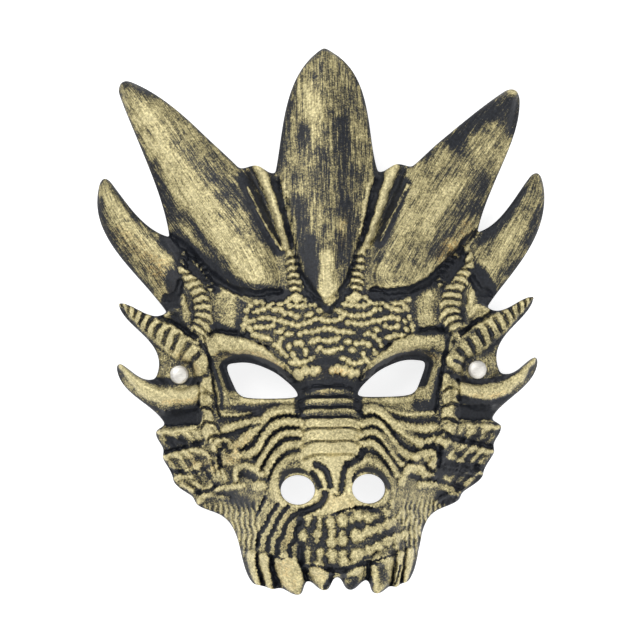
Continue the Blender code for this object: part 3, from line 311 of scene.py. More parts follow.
# Strokes of more gold (above 0) or of black (below 0); a few black strokes are painted shade, beside the
# inner horns and over the tops of the nostrils
BRUSHED_AND_SHADE = {
    "left horns": [
        (0.16, 60, 1400, 330, 1440, 450), (-0.16, 56, 1440, 720, 1450, 900, 1460, 1000),
        (0.36, 75, 470, 500, 620, 760, 760, 940, 860, 1080, 960, 1220, 1070, 1370),
        (0.12, 60, 390, 340, 460, 440), (0.1, 66, 560, 420, 700, 560, 860, 720, 930, 800),
        (-0.28, 44, 850, 740, 920, 860, 960, 960), (0.12, 56, 1100, 1200, 1180, 1340),
        (-0.34, 38, 530, 760, 590, 920, 640, 1060), (-0.36, 32, 690, 1040, 820, 1200, 930, 1300),
        (-0.8, 42, 650, 1150, 760, 1260, 900, 1370, 1040, 1450, 1240, 1482),
        (-0.32, 36, 1000, 880, 1080, 1020, 1170, 1190), (-0.25, 26, 370, 300, 520, 370),
        (0.24, 48, 260, 900, 340, 1050, 450, 1180, 580, 1290),
        (-0.34, 26, 215, 950, 280, 1160, 400, 1350, 500, 1460), (-0.28, 26, 300, 880, 400, 1010, 520, 1120),
        (-0.9, 40, 590, 1180, 660, 1240, 690, 1290), (-0.9, 44, 630, 1390, 650, 1470, 610, 1540),
        (-0.32, 30, 1290, 420, 1255, 600, 1240, 760), (0.2, 60, 1400, 430, 1405, 530),
        (0.14, 44, 1400, 660, 1440, 900, 1450, 1050), (-0.3, 44, 1350, 640, 1370, 560),
        (-0.42, 46, 1330, 960, 1370, 1200, 1400, 1480),
        (-0.9, 34, 1030, 830, 1090, 960, 1165, 1120, 1225, 1230),
        (0.5, 28, 1115, 780, 1185, 980, 1262, 1215), (-0.8, 24, 1190, 850, 1232, 990, 1290, 1180),
        (0.9, 9, 1050, 880, 1100, 990, 1160, 1110, 1240, 1230),
        (0.7, 8, 1245, 860, 1270, 1000, 1310, 1190)],
    "right horns": [
        (-0.12, 60, 60, 700, 70, 900), (-0.2, 60, 1000, 420, 1080, 520), (0.12, 80, 700, 900, 560, 1100),
        (-0.36, 52, 175, 540, 190, 700, 195, 860, 200, 1010), (-0.2, 60, 190, 380, 200, 460),
        (-0.3, 46, 260, 1040, 230, 1200, 200, 1420), (0.48, 36, 95, 1260, 100, 1400, 100, 1500),
        (-0.5, 34, 15, 1180, 10, 1350, 10, 1500), (-0.3, 30, 160, 1150, 165, 1300),
        (-0.42, 48, 1120, 390, 1050, 440, 950, 500, 800, 620), (-0.4, 36, 1140, 430, 1130, 560),
        (0.6, 18, 1125, 350, 1150, 345), (0.16, 50, 940, 600, 980, 680), (0.2, 34, 1100, 650, 1060, 780),
        (-0.36, 46, 970, 850, 930, 1000), (-0.25, 46, 820, 620, 850, 700),
        (0.28, 56, 820, 860, 730, 980, 650, 1110), (0.14, 66, 620, 760, 580, 960, 500, 1150, 420, 1330),
        (-0.22, 56, 860, 1000, 780, 1120, 700, 1240),
        (-0.9, 34, 370, 1495, 530, 1475, 675, 1412, 795, 1300), (-0.32, 28, 520, 900, 450, 1080, 380, 1280),
        (0.24, 46, 1160, 1100, 1080, 1220, 1000, 1320), (-0.6, 30, 1180, 900, 1080, 1060, 950, 1180),
        (-0.36, 26, 1295, 1000, 1230, 1180), (-0.32, 30, 1200, 1290, 1100, 1350),
        (-1.0, 54, 940, 1370, 990, 1490), (0.5, 28, 462, 785, 400, 990, 330, 1200),
        (-0.85, 28, 395, 830, 350, 1000, 300, 1170), (-0.85, 28, 540, 850, 470, 1010, 390, 1190),
        (0.9, 9, 545, 870, 500, 960, 450, 1060, 395, 1180), (0.7, 8, 335, 860, 310, 980, 280, 1180)],
    "left": [
        (-1.7, 44, 615, 1058, 700, 1050, 765, 1040), (-1.0, 18, 500, 840, 600, 846, 700, 850, 780, 840),
        (0.3, 42, 400, 850, 520, 922, 640, 922, 760, 905),
        (-0.6, 16, 400, 925, 480, 985, 590, 1008, 760, 990), (-0.9, 26, 880, 540, 950, 570, 1040, 590),
        (0.15, 50, 920, 340, 970, 470), (-0.9, 24, 1335, 880, 1345, 960, 1335, 1015),
        (-1.1, 22, 1380, 890, 1450, 868, 1568, 866), (0.3, 15, 1020, 955, 1150, 960, 1300, 950),
        (-0.4, 30, 1000, 1000, 1100, 1010, 1200, 985),
        (-0.7, 12, 770, 600, 830, 700, 870, 800, 900, 900, 905, 1000),
        # The first stroke on the next line is a painted shadow beside the inner horn
        (-0.9, 26, 740, 130, 720, 200, 800, 260, 880, 330), (-0.7, 34, 650, 480, 720, 570),
        (-0.7, 34, 620, 1190, 680, 1180), (-0.5, 40, 960, 1500, 1060, 1540)],
    "right": [
        (-1.5, 40, 845, 1010, 920, 1020, 1000, 1010),
        (-0.9, 13, 800, 822, 900, 848, 1000, 844, 1080, 830, 1160, 790),
        (-0.9, 22, 850, 942, 950, 968, 1040, 972, 1110, 945),
        # The second stroke on the next line is a painted shadow beside the inner horn
        (0.3, 36, 860, 890, 980, 920, 1080, 900, 1180, 830), (-0.9, 28, 860, 130, 820, 200, 760, 270),
        (-0.9, 25, 600, 570, 680, 572, 740, 550), (-1.0, 32, 760, 1330, 850, 1345, 940, 1345),
        (-0.9, 28, 745, 1240, 745, 1320, 710, 1390), (-0.9, 24, 275, 890, 268, 970, 282, 1015),
        (-1.1, 24, 0, 885, 100, 862, 235, 885), (0.3, 15, 300, 955, 450, 955, 570, 950),
        (0.25, 20, 640, 900, 690, 780), (-0.7, 13, 770, 580, 755, 700, 740, 800, 715, 900, 700, 1000),
        (-0.6, 34, 600, 980, 700, 990), (-1.0, 36, 740, 1500, 830, 1520), (-0.5, 34, 860, 480, 900, 560)],
    "right temple": [
        (0.3, 46, 790, 470, 820, 600, 910, 640), (-0.9, 56, 890, 350, 960, 430, 930, 520),
        (0.2, 60, 400, 480, 400, 640), (-0.5, 26, 960, 950, 1000, 880), (-1.2, 15, 647, 1048, 733, 1095),
        (-0.9, 15, 587, 1148, 667, 1196, 747, 1200), (-0.7, 24, 518, 1135, 493, 1282, 460, 1402),
        (0.5, 15, 587, 1895, 640, 1842), (0.5, 15, 667, 1935, 760, 1855), (0.5, 15, 800, 1935, 853, 1869),
        (0.6, 40, 253, 2002, 347, 2002), (0.5, 24, 400, 1895, 440, 1935)],
    "right fins": [
        (0.4, 44, 910, 600, 880, 720), (0.4, 44, 1160, 620, 1100, 740), (0.25, 34, 775, 600, 780, 680),
        (0.4, 30, 670, 965, 635, 1015), (0.3, 20, 760, 850, 700, 930), (0.35, 24, 890, 950, 790, 1080),
        (0.3, 22, 975, 870, 930, 960), (0.3, 26, 1140, 940, 1030, 1090), (0.4, 30, 700, 1240, 640, 1310),
        (0.35, 28, 990, 1265, 850, 1350), (0.3, 18, 1060, 1180, 1010, 1250)],
    "forehead": [
        (0.7, 70, 890, 20, 885, 80), (-0.9, 34, 1070, 10, 1000, 80, 930, 140, 880, 200),
        (-0.9, 34, 730, 40, 780, 120, 840, 180), (-0.9, 40, 250, 80, 400, 70),
        (-0.8, 40, 1290, 60, 1460, 60), (-0.8, 26, 780, 700, 860, 700, 940, 700)],
    "snout": [
        (0.35, 70, 270, 600, 290, 740), (0.4, 40, 530, 640, 545, 700),
        (-0.8, 46, 770, 660, 840, 710, 820, 770), (0.9, 20, 790, 675, 850, 662),
        (0.6, 12, 1012, 595, 1016, 635), (0.5, 12, 1008, 700, 1022, 760),
        (-0.6, 44, 1065, 600, 1085, 680, 1085, 720), (0.3, 16, 1170, 560, 1185, 640, 1160, 720),
        (-0.8, 16, 590, 780, 610, 740), (-0.25, 26, 1060, 510, 1180, 470), (0.2, 30, 60, 560, 110, 700)],
    "nose": [
        (0.35, 60, 700, 620, 740, 700, 720, 800), (0.35, 60, 690, 900, 800, 910),
        # These two arcs are painted shade over the top of each nostril, where its wall is in shade
        (-1.1, 15, 350, 800, 352, 750, 388, 705, 450, 688, 520, 703, 572, 750, 600, 808),
        (-1.1, 15, 852, 730, 882, 694, 940, 684, 1010, 703, 1060, 750, 1080, 800),
        (0.25, 40, 310, 720, 300, 820, 360, 900), (0.25, 40, 640, 560, 840, 540)],
}
# Painted warm highlights: where the gold is tinted warmer, as glints of light on it
PAINTED_WARM_GLINTS = {
    "left": [
        (0.8, 18, 880, 708, 1000, 692, 1100, 700, 1200, 750, 1290, 830),
        (0.7, 20, 580, 965, 680, 960, 760, 955), (0.5, 40, 990, 1210, 1060, 1160),
        (0.6, 40, 940, 1290, 980, 1280), (0.6, 60, 540, 200, 620, 330), (0.5, 30, 640, 690, 760, 790),
        (0.5, 40, 740, 1300, 850, 1330), (0.6, 24, 1480, 790, 1568, 800)],
    "right": [
        (0.8, 16, 400, 770, 520, 700, 620, 690, 720, 715), (0.6, 26, 60, 800, 200, 800),
        (0.9, 40, 770, 90, 740, 150), (0.6, 14, 900, 925, 1020, 930, 1100, 905)],
    "snout": [
        (0.5, 80, 250, 600, 290, 740), (0.4, 50, 530, 640, 545, 700), (0.4, 60, 300, 200, 260, 400)],
    "nose": [
        (0.5, 26, 600, 160, 700, 140), (0.3, 60, 690, 900, 800, 910)],
    "left horns": [
        (0.9, 26, 1060, 800, 1090, 860), (0.5, 60, 330, 1150, 560, 1330)],
    "right horns": [
        (0.8, 50, 870, 1100, 780, 1250), (0.6, 40, 200, 1050, 180, 1200)],
}
# Chains of scales on the forehead and lumps between the brows, as across and down for each point
SCALE_CHAINS = {
    "left brow": [
        (185, 400, 235, 330, 310, 280, 440, 265), (290, 430, 380, 400, 500, 355, 590, 285),
        (690, 290, 740, 285, 800, 260), (850, 215, 910, 195, 960, 210), (1060, 230, 1130, 230),
        (850, 325, 960, 325, 1100, 330), (1180, 310, 1240, 305), (600, 400, 680, 370, 730, 400),
        (780, 450, 850, 440, 930, 490, 1010, 495), (1110, 480, 1200, 450), (1300, 400, 1360, 400),
        (220, 575, 290, 560), (370, 530, 470, 515, 560, 525, 660, 555, 740, 560),
        (780, 590, 860, 600, 960, 640, 1060, 610, 1150, 590, 1240, 540, 1330, 530, 1420, 560, 1500, 550,
         1568, 560), (330, 660, 420, 660, 520, 655, 590, 630), (180, 500, 145, 620, 120, 740),
        (225, 680, 260, 730), (640, 735, 700, 730, 755, 690), (800, 770, 900, 765),
        (1020, 770, 1090, 740, 1180, 740, 1260, 720, 1340, 700, 1430, 690, 1568, 690),
        (260, 790, 340, 790, 420, 820), (490, 830, 560, 860), (730, 840, 700, 900), (1180, 900, 1230, 880),
        (1300, 850, 1380, 870, 1480, 870, 1568, 860), (620, 940, 680, 970, 740, 1050, 800, 1110),
        (850, 930, 840, 1000), (960, 910, 1020, 890, 1050, 960),
        (1290, 1030, 1340, 990, 1400, 1040, 1500, 1040, 1568, 1030), (900, 1070, 930, 1130, 960, 1190),
        (1110, 1030, 1110, 1090), (850, 1210, 950, 1230, 1050, 1210, 1150, 1180, 1230, 1130)],
    "right brow": [
        (350, 200, 400, 230, 450, 240), (560, 190, 640, 200, 700, 260, 780, 285, 840, 270),
        (270, 290, 350, 310, 470, 320, 560, 320, 650, 310),
        (880, 270, 930, 280, 980, 340, 1060, 370, 1140, 390, 1210, 400),
        (1030, 255, 1120, 280, 1200, 280, 1250, 340, 1300, 390), (1270, 220, 1310, 220),
        (140, 380, 200, 400, 260, 430, 340, 460, 420, 480, 520, 480, 640, 470, 720, 440, 790, 390,
         860, 380), (0, 570, 60, 560, 150, 560, 220, 540, 280, 500),
        (350, 590, 420, 590, 500, 610, 600, 610, 700, 590, 770, 560, 850, 560, 930, 530, 1000, 510,
         1080, 510, 1150, 530), (1320, 500, 1330, 530), (1360, 600, 1370, 640), (1390, 710, 1400, 740),
        (1250, 560, 1260, 590), (1260, 680, 1280, 700),
        (0, 690, 90, 690, 180, 720, 270, 730, 360, 740, 450, 750),
        (620, 780, 680, 760, 740, 780, 790, 820, 850, 880, 880, 950), (790, 700, 860, 720),
        (950, 640, 1020, 670, 1130, 650), (950, 820, 1020, 820), (1090, 790, 1160, 790, 1250, 780),
        (0, 870, 80, 880, 160, 860, 220, 830), (320, 890, 370, 890),
        (490, 920, 560, 910, 620, 900, 690, 940), (0, 1030, 80, 1040, 160, 1010, 250, 990),
        (400, 1020, 440, 1020), (600, 1080, 620, 1140), (770, 1020, 790, 1060),
        (270, 1150, 340, 1160, 400, 1220, 500, 1230, 580, 1200), (660, 1190, 690, 1220)],
}
BROW_LUMPS = {
    "left brow": [
        (1010, 1400, 1110, 1350, 1200, 1350, 1290, 1330)],
    "right brow": [
        (120, 1340, 220, 1320, 320, 1350, 430, 1380, 490, 1380)],
}
# Beads on the lips; the amount is the rise
LIP_BEADS = {
    "snout": [
        (0.8, 30, 452, 195, 446, 250), (0.8, 28, 548, 200, 545, 255), (0.85, 36, 640, 200, 638, 250),
        (0.85, 42, 742, 210, 745, 232), (0.8, 42, 815, 210, 850, 185, 915, 182, 975, 190, 1020, 172),
        (0.8, 32, 415, 310, 405, 350, 408, 385), (0.8, 34, 530, 320, 525, 385),
        (0.9, 40, 650, 320, 650, 400), (0.9, 42, 740, 330, 740, 390), (0.9, 46, 850, 325, 850, 370),
        (0.9, 42, 895, 350, 960, 310, 1030, 290, 1085, 265, 1140, 240, 1170, 225),
        (0.75, 26, 450, 450, 445, 510, 448, 570), (0.75, 30, 555, 470, 545, 530, 545, 580),
        (0.85, 48, 655, 510, 655, 545), (0.85, 44, 745, 500, 750, 560), (0.9, 44, 845, 490, 850, 540),
        (0.9, 40, 880, 500, 940, 480, 1010, 450, 1060, 430, 1120, 395, 1200, 365, 1280, 335, 1360, 320),
        (0.6, 27, 1160, 65, 1160, 95), (0.6, 26, 1095, 130, 1120, 155), (0.6, 27, 1245, 145, 1260, 180),
        (0.6, 25, 1215, 190, 1220, 215), (0.6, 26, 1320, 140, 1330, 180), (0.6, 26, 1270, 235, 1300, 215),
        (0.6, 26, 1350, 230, 1380, 220), (0.6, 26, 1330, 285, 1380, 275), (0.5, 24, 1100, 480, 1200, 440)],
}
# Black grooves of the lip, between the teeth and on the nose; the amount is how black they are. One of them,
# under a nostril, is painted shadow
SNOUT_GROOVES = {
    "snout": [
        (-1.0, 14, 85, 20, 45, 110, 20, 170),
        (-1.0, 19, 190, 80, 130, 170, 100, 240, 70, 290, 35, 340, 25, 430),
        (-1.0, 21, 280, 95, 220, 170, 180, 240, 150, 310, 115, 380, 110, 470),
        (-1.0, 23, 350, 160, 300, 200, 255, 270, 240, 340, 195, 400, 190, 500),
        (-1.0, 23, 385, 240, 350, 300, 340, 380, 295, 440, 300, 520),
        (-1.0, 26, 400, 410, 385, 500, 395, 580, 435, 650), (-0.9, 11, 110, 510, 180, 525, 240, 545),
        (-0.9, 18, 480, 595, 560, 612, 640, 625),
        (-1.0, 24, 600, 625, 720, 640, 850, 598, 950, 575, 1010, 580),
        (-0.7, 9, 1010, 560, 1100, 530, 1200, 500), (-1.0, 22, 145, 540, 140, 620, 150, 700, 165, 780),
        (-1.0, 24, 430, 640, 432, 710), (-1.0, 24, 660, 650, 630, 720, 595, 780),
        (-1.0, 22, 960, 600, 965, 680, 985, 760), (-0.9, 16, 1230, 600, 1210, 680, 1190, 750),
        (-0.8, 12, 10, 500, 20, 620, 50, 730)],
    "nose": [
        (-1.1, 29, 585, 645, 645, 675, 672, 730, 685, 790),
        (-1.1, 29, 800, 640, 775, 690, 765, 760, 755, 812), (-1.0, 20, 560, 700, 590, 740, 615, 790),
        # The second stroke on the next line is painted shadow under the nostril on the left, cut as a groove
        # as well
        (-0.9, 10, 705, 848, 735, 858, 765, 838), (-1.1, 31, 652, 845, 640, 890, 590, 930, 490, 965),
        (-1.0, 17, 860, 940, 930, 938, 1005, 965), (-1.0, 9, 700, 985, 780, 955, 860, 940),
        (-1.1, 31, 905, 545, 890, 590, 850, 625, 805, 645), (-1.0, 11, 835, 760, 850, 710)],
}
# Sizes of one scale, lump or bead of a chain: radius, rise and the pitch along it
SCALE_SIZES = (0.62, 0.62, 1.15)
LUMP_SIZES = (1.1, 1.0, 1.3)
BEAD_SPREAD = 1.22
BEAD_PITCH = 1.9
# How deep the black grooves and the traced grooves are cut, for an amount of 1
SNOUT_CARVE = 0.6
GROOVE_CARVE = 0.65
# How square the tops of traced folds and the floors of grooves are: 1 is round, less is flatter
FOLD_POWER = 0.6
GROOVE_POWER = 0.9
# The black part of the muzzle: its upper and lower edge at places across it
SNOUT_ACROSS = (-7.0, -6.4, -5.0, -3.0, -0.2, 0.6, 3.0, 7.5, 9.0, 10.6, 12.4)
SNOUT_TOP = (13.6, 14.4, 15.0, 13.9, 14.0, 14.7, 15.2, 14.9, 14.0, 12.5, 11.0)
SNOUT_FOOT = (4.4, 4.4, 4.5, 4.3, 4.1, 4.3, 4.7, 7.2, 8.0, 8.9, 9.6)
# Painted shade: how dark the lower side of each band of the nose is, away from the light that catches its
# top, from the brows down
NOSE_PAINTED_SHADE = (0.9, 0.65, 0.62, 0.5, 0.2, 0.15, 0.0)
# Parts with more gold (above 0) or less: (amount, fades), each fade (direction, none here, all here)
GOLD_ZONES = {
    "lower nose": (0.3, (("up", 32.5, 30.5), ("up", 13.5, 15.5), ("side", 6.6, 5.2))),
    "right fins": (-0.2, (("across", 21.5, 23.5), ("up", 31.5, 30.5))),
    "left cheek edge": (0.12, (("across", -20.5, -22.5), ("up", 42.0, 40.0))),
    "left brow": (0.08, (("across", -6.0, -9.0), ("up", 42.0, 44.0), ("up", 48.5, 47.5))),
    "right brow": (-0.08, (("across", 6.0, 9.0), ("up", 42.0, 44.0), ("up", 48.5, 47.5))),
}
# The gold: its mean, and how much more or less of it lies on fine relief and on broad relief
GOLD_MEAN = 0.54
GOLD_ON_FINE = 1.35
GOLD_ON_BROAD = 0.55
FINE_LOWEST = -0.17
# Gold of the scales and of the muzzle: least, slope over the carving's height, and where it stops
SCALY_GOLD = (0.2, 1.55, 0.62)
SNOUT_GOLD = (0.15, 1.05, 0.75)
# How much darker the grooves between the cheek folds are (their black, widened by painted shade on the folds'
# lower flanks), the tops of the eye sockets (painted shade under the brows), and the edges
GAP_BLACK_AND_SHADE, SOCKET_PAINTED_SHADE, EDGE_DARK = 0.36, 1.2, 0.35
GOLD_RAMP = [(0.0, (0.014, 0.016, 0.021)), (0.26, (0.020, 0.022, 0.026)), (0.42, (0.085, 0.077, 0.051)),
             (0.58, (0.255, 0.22, 0.11)), (0.76, (0.43, 0.374, 0.188)), (1.0, (0.62, 0.545, 0.30))]
# The colour that the painted warm glints multiply the gold by
PAINTED_GLINT_TINT = (1.14, 0.90, 0.66)
# The studio: (name, place, size, power) of each light, and how bright the room is
LIGHTS = (("key", (-0.9, 0.9, 1.9), 1.4, 24.0), ("fill", (1.2, -0.4, 1.7), 1.6, 12.0),
          ("front", (0.1, -1.4, 1.6), 1.4, 10.0))
ROOM_LIGHT = 0.55


def smoothstep(low, high, value):
    """Rise from 0 at low to 1 at high, with level ends."""
    share = np.clip((value - low) / (high - low), 0.0, 1.0)
    return share * share * (3.0 - 2.0 * share)


def catmull(points, per_span, closed=False):
    """Points of a smooth curve through the given ones, whose extra columns run along with them."""
    points = np.asarray(points, float)
    count = len(points)
    spans = count if closed else count - 1
    shares = np.linspace(0.0, 1.0, per_span, endpoint=False)[:, None]
    pieces = []
    for span in range(spans):
        if closed:
            ring = [points[(span + step) % count] for step in (-1, 0, 1, 2)]
        else:
            ring = [points[min(max(span + step, 0), count - 1)] for step in (-1, 0, 1, 2)]
        before, start, end, after = ring
        pieces.append(0.5 * (2 * start + (end - before) * shares
                             + (2 * before - 5 * start + 4 * end - after) * shares ** 2
                             + (3 * start - before - 3 * end + after) * shares ** 3))
    if not closed:
        pieces.append(points[-1:])
    return np.concatenate(pieces)


class Path:
    """A smooth line on the face, with a half width at each of its points."""

    def __init__(self, points, width=None, per_span=7):
        rows = [tuple(point[:2]) + ((point[2],) if width is None else (width,)) for point in points]
        curve = catmull(rows, per_span)
        self.start, self.end = curve[:-1], curve[1:]
        steps = np.hypot(*(self.end - self.start)[:, :2].T)
        self.run = np.concatenate([[0.0], np.cumsum(steps)])
        self.low = curve[:, :2].min(0) - curve[:, 2].max()
        self.high = curve[:, :2].max(0) + curve[:, 2].max()
        self.width = curve[:, 2].max()

    def near(self, across, up, margin=0.0):
        """Which points lie in the box of the path."""
        return np.flatnonzero((across > self.low[0] - margin) & (across < self.high[0] + margin)
                              & (up > self.low[1] - margin) & (up < self.high[1] + margin))

    def measure(self, across, up):
        """Distance, side (-1 or 1), run along the path and half width at the nearest place."""
        best = np.full(len(across), 1e9)
        side = np.ones(len(across))
        run = np.zeros(len(across))
        width = np.ones(len(across))
        for index, (start, end) in enumerate(zip(self.start, self.end)):
            step = end[:2] - start[:2]
            length = math.hypot(*step)
            if length < 1e-9:
                continue
            dx, dy = across - start[0], up - start[1]
            share = np.clip((dx * step[0] + dy * step[1]) / length ** 2, 0.0, 1.0)
            gap = np.hypot(dx - share * step[0], dy - share * step[1])
            closer = gap < best
            best[closer] = gap[closer]
            side[closer] = np.sign(step[0] * dy - step[1] * dx)[closer]
            run[closer] = self.run[index] + share[closer] * length
            width[closer] = (start[2] + share * (end[2] - start[2]))[closer]
        return best, side, run, width

    def meet(self, across, up, margin=0.0):
        """Which points lie in the box of the path, and their measures."""
        where = self.near(across, up, margin)
        return where, *self.measure(across[where], up[where])


def vault(height, across, up, path, rise):
    """Raise a round back over a path, as over a horn."""
    where, gap, _, _, width = path.meet(across, up)
    height[where] += rise * np.clip(1.0 - (gap / width) ** 2, 0.0, 1.0) * np.minimum(1.0, width / 2.0)


def ridge(height, across, up, path, rise, power=1.0):
    """Lay a fold along a path, or cut a groove where rise is negative."""
    where, gap, _, _, width = path.meet(across, up)
    height[where] += rise * np.clip(1.0 - (gap / width) ** 2, 0.0, 1.0) ** power


def rungs(height, across, up, path, rise, pitch, cut, low=-1.2, high=1.2, slant=0.0, fill=0.55,
          growth=0.0):
    """A ribbed horn: a round back with slots across it, from low to high of its width.

    The slots are a pitch apart at the start of the path, and the pitch grows by growth for each unit of it.
    """
    where, gap, turn, run, width = path.meet(across, up)
    lateral = turn * gap / width
    back = np.sqrt(np.clip(1.0 - lateral ** 2, 0.0, 1.0))
    turns = run / pitch - slant * lateral - 0.3 * lateral ** 2
    if growth:
        turns = np.log1p(np.maximum(growth * turns, -0.9)) / growth
    phase = np.mod(turns, 1.0) - 0.5
    slot = np.clip(1.0 - (phase / (0.5 * fill)) ** 2, 0.0, 1.0) ** 0.6
    window = smoothstep(low - 0.2, low + 0.15, lateral) * (1.0 - smoothstep(high - 0.15, high + 0.2, lateral))
    height[where] += np.where(gap < width, rise * back - cut * slot * window * back ** 0.4, 0.0)


def chain(height, across, up, path, radius, rise, pitch, seed):
    """A string of uneven scales that run into each other."""
    where, gap, _, run, _ = path.meet(across, up, 0.3)
    turn = 2.0 * math.pi * (run / pitch + seed)
    swell = radius * (0.86 + 0.2 * np.cos(turn) + 0.06 * np.cos(0.37 * turn + 5.0 * seed))
    dome = np.sqrt(np.clip(1.0 - (gap / swell) ** 2, 0.0, 1.0))
    crest = rise * (0.88 + 0.14 * np.cos(turn) + 0.08 * np.sin(1.7 * turn + 9.0 * seed)) * dome
    height[where] = np.maximum(height[where], crest)


def cone(height, across, up, root, tip, width, rise, middle=0.72, end=0.2):
    """A tooth or fin: wide and full at the root, and middle and end shares of that further out."""
    path = Path([root + (width,), tuple((a + b) / 2 for a, b in zip(root, tip)) + (middle * width,),
                 tip + (end * width,)])
    ridge(height, across, up, path, rise, 0.65)


def form_kernel(gap):
    """The thin-plate kernel."""
    return gap * gap * np.log(np.maximum(gap, 1e-6))


def solve_form():
    """Weights of the smooth surface through the heights in FORM, mirrored to both sides."""
    knots = [row for row in FORM.values()] + [(-a, b, c) for a, b, c in FORM.values() if a]
    knots = np.array(knots, float)
    count = len(knots)
    gaps = np.hypot(knots[:, None, 0] - knots[None, :, 0], knots[:, None, 1] - knots[None, :, 1])
    matrix = np.zeros((count + 3, count + 3))
    matrix[:count, :count] = form_kernel(gaps) + 2.0 * np.eye(count)
    matrix[:count, count] = 1.0
    matrix[:count, count + 1:] = knots[:, :2]
    matrix[count:, :count] = matrix[:count, count:].T
    weights = np.linalg.solve(matrix, np.concatenate([knots[:, 2], np.zeros(3)]))
    return knots, weights


def smooth_form(across, up, form):
    """Height of the plain form, before horns, sockets and carving."""
    knots, weights = form
    height = weights[-3] + weights[-2] * across + weights[-1] * up
    for (a, b, _), weight in zip(knots, weights):
        height = height + weight * form_kernel(np.hypot(across - a, up - b))
    return height


def outline_half(sign):
    """Points of one side's half outline, crown to teeth, with each edge a cubic curve."""
    corners = list(OUTLINE.items())
    points = []
    for (name, (a0, b0, first, second)), (_, (a1, b1, _, _)) in zip(corners, corners[1:]):
        extra = LOPSIDED.get(name, (0.0, 0.0))
        first, second = first + sign * extra[0], second + sign * extra[1]
        start, end = np.array([a0, b0]), np.array([a1, b1])
        step = end - start
        outward = np.array([-step[1], step[0]])
        near, far = start + 0.29 * step + first * outward, start + 0.70 * step + second * outward
        count = max(5, round(1.1 * float(np.hypot(*step)) * UNIT / EDGE_STEP))
        for share in np.linspace(0.0, 1.0, count, endpoint=False):
            rest = 1.0 - share
            points.append(rest ** 3 * start + 3 * rest ** 2 * share * near
                          + 3 * rest * share ** 2 * far + share ** 3 * end)
    points.append(np.array(corners[-1][1][:2]))
    return np.array(points)


def soften(loop, rounds):
    """Round off a closed loop's corners a little."""
    for _ in range(rounds):
        loop = 0.5 * loop + 0.25 * (np.roll(loop, 1, 0) + np.roll(loop, -1, 0))
    return loop


def even_spacing(loop, step):
    """The closed loop again, with points about a step apart."""
    closed = np.vstack([loop, loop[:1]])
    run = np.concatenate([[0.0], np.cumsum(np.hypot(*np.diff(closed, axis=0).T))])
    count = max(8, round(run[-1] / step))
    places = np.linspace(0.0, run[-1], count, endpoint=False)
    return np.column_stack([np.interp(places, run, closed[:, k]) for k in (0, 1)])


def face_loops(step):
    """The outline and the openings in it, as closed loops about a step apart."""
    right = outline_half(1.0)
    left = outline_half(-1.0)[-2:0:-1] * (-1.0, 1.0)
    loops = [even_spacing(soften(np.vstack([right, left]), 3), step)]
    eye = even_spacing(catmull(EYE, 12, closed=True), step)
    turn = np.linspace(0.0, 2.0 * math.pi, round(2.0 * math.pi * NOSTRIL_RADII[0] / step), endpoint=False)
    nostril = np.column_stack([NOSTRIL[0] + NOSTRIL_RADII[0] * np.cos(turn),
                               NOSTRIL[1] + NOSTRIL_RADII[1] * np.sin(turn)])
    bore = HOLE_RADIUS / UNIT
    turn = np.linspace(0.0, 2.0 * math.pi, BORE_POINTS, endpoint=False)
    hole = np.column_stack([RIVET[0] + bore * np.cos(turn), RIVET[1] + bore * np.sin(turn)])
    for loop in (eye, nostril, hole):
        loops.append(loop)
        loops.append(loop * (-1.0, 1.0))
    return loops


def loop_distance(loops, across, up, reach=3.0):
    """Distance from each point to the nearest loop, up to reach."""
    best = np.full(len(across), reach)
    order = np.argsort(across)
    sorted_across = across[order]
    for loop in loops:
        for start, end in zip(loop, np.roll(loop, -1, 0)):
            step = end - start
            first, last = np.searchsorted(sorted_across, (start[0] - reach, start[0] + reach))
            box = order[first:last]
            box = box[np.abs(up[box] - start[1]) < reach]
            dx, dy = across[box] - start[0], up[box] - start[1]
            share = np.clip((dx * step[0] + dy * step[1]) / (step @ step), 0.0, 1.0)
            best[box] = np.minimum(best[box], np.hypot(dx - share * step[0], dy - share * step[1]))
    return best


def inside(loop, across, up):
    """Which points lie inside a closed loop."""
    crossings = np.zeros(len(across), int)
    order = np.argsort(up)
    sorted_up = up[order]
    for (a0, b0), (a1, b1) in zip(loop, np.roll(loop, -1, 0)):
        if b0 == b1:
            continue
        first, last = np.searchsorted(sorted_up, (min(b0, b1), max(b0, b1)))
        rows = order[first:last]
        crossings[rows] += across[rows] < a0 + (up[rows] - b0) * (a1 - a0) / (b1 - b0)
    return crossings % 2 == 1


def on_material(loops, across, up):
    """Which points lie inside the outline and in none of its openings."""
    result = inside(loops[0], across, up)
    for loop in loops[1:]:
        result &= ~inside(loop, across, up)
    return result


def settle(across, up):
    """Where a place on the even face lies on the cast one, whose middle and jaw lean and horns differ."""
    side = np.abs(across)
    crown = FOLD_LEAN - (FOLD_LEAN + CAST_LEAN) * smoothstep(14.0, 22.0, side)
    middle = smoothstep(26.0, 34.0, up) * smoothstep(72.0, 60.0, up) * smoothstep(25.0, 20.0, side)
    jaw = smoothstep(30.0, 12.0, up) * smoothstep(9.0, 15.0, side)
    teeth = smoothstep(8.0, 2.0, up) * smoothstep(14.0, 7.0, side)
    moved_a = (across + crown * smoothstep(56.0, 72.0, up) - FACE_LEAN * middle - JAW_LEAN * jaw
               + TEETH_SHIFT * teeth)
    moved_b = up - HORN_SKEW * smoothstep(74.0, 93.0, up) * across / OUTLINE["horn tip"][0]
    return moved_a, moved_b


def rivet_place(side):
    """Where the rivet of one side stands in the plane, in metres, before the model is centred."""
    place_a, place_b = settle(np.array([side * RIVET[0]]), np.array([RIVET[1]]))
    return np.array([place_a[0] * UNIT, place_b[0] * UNIT])


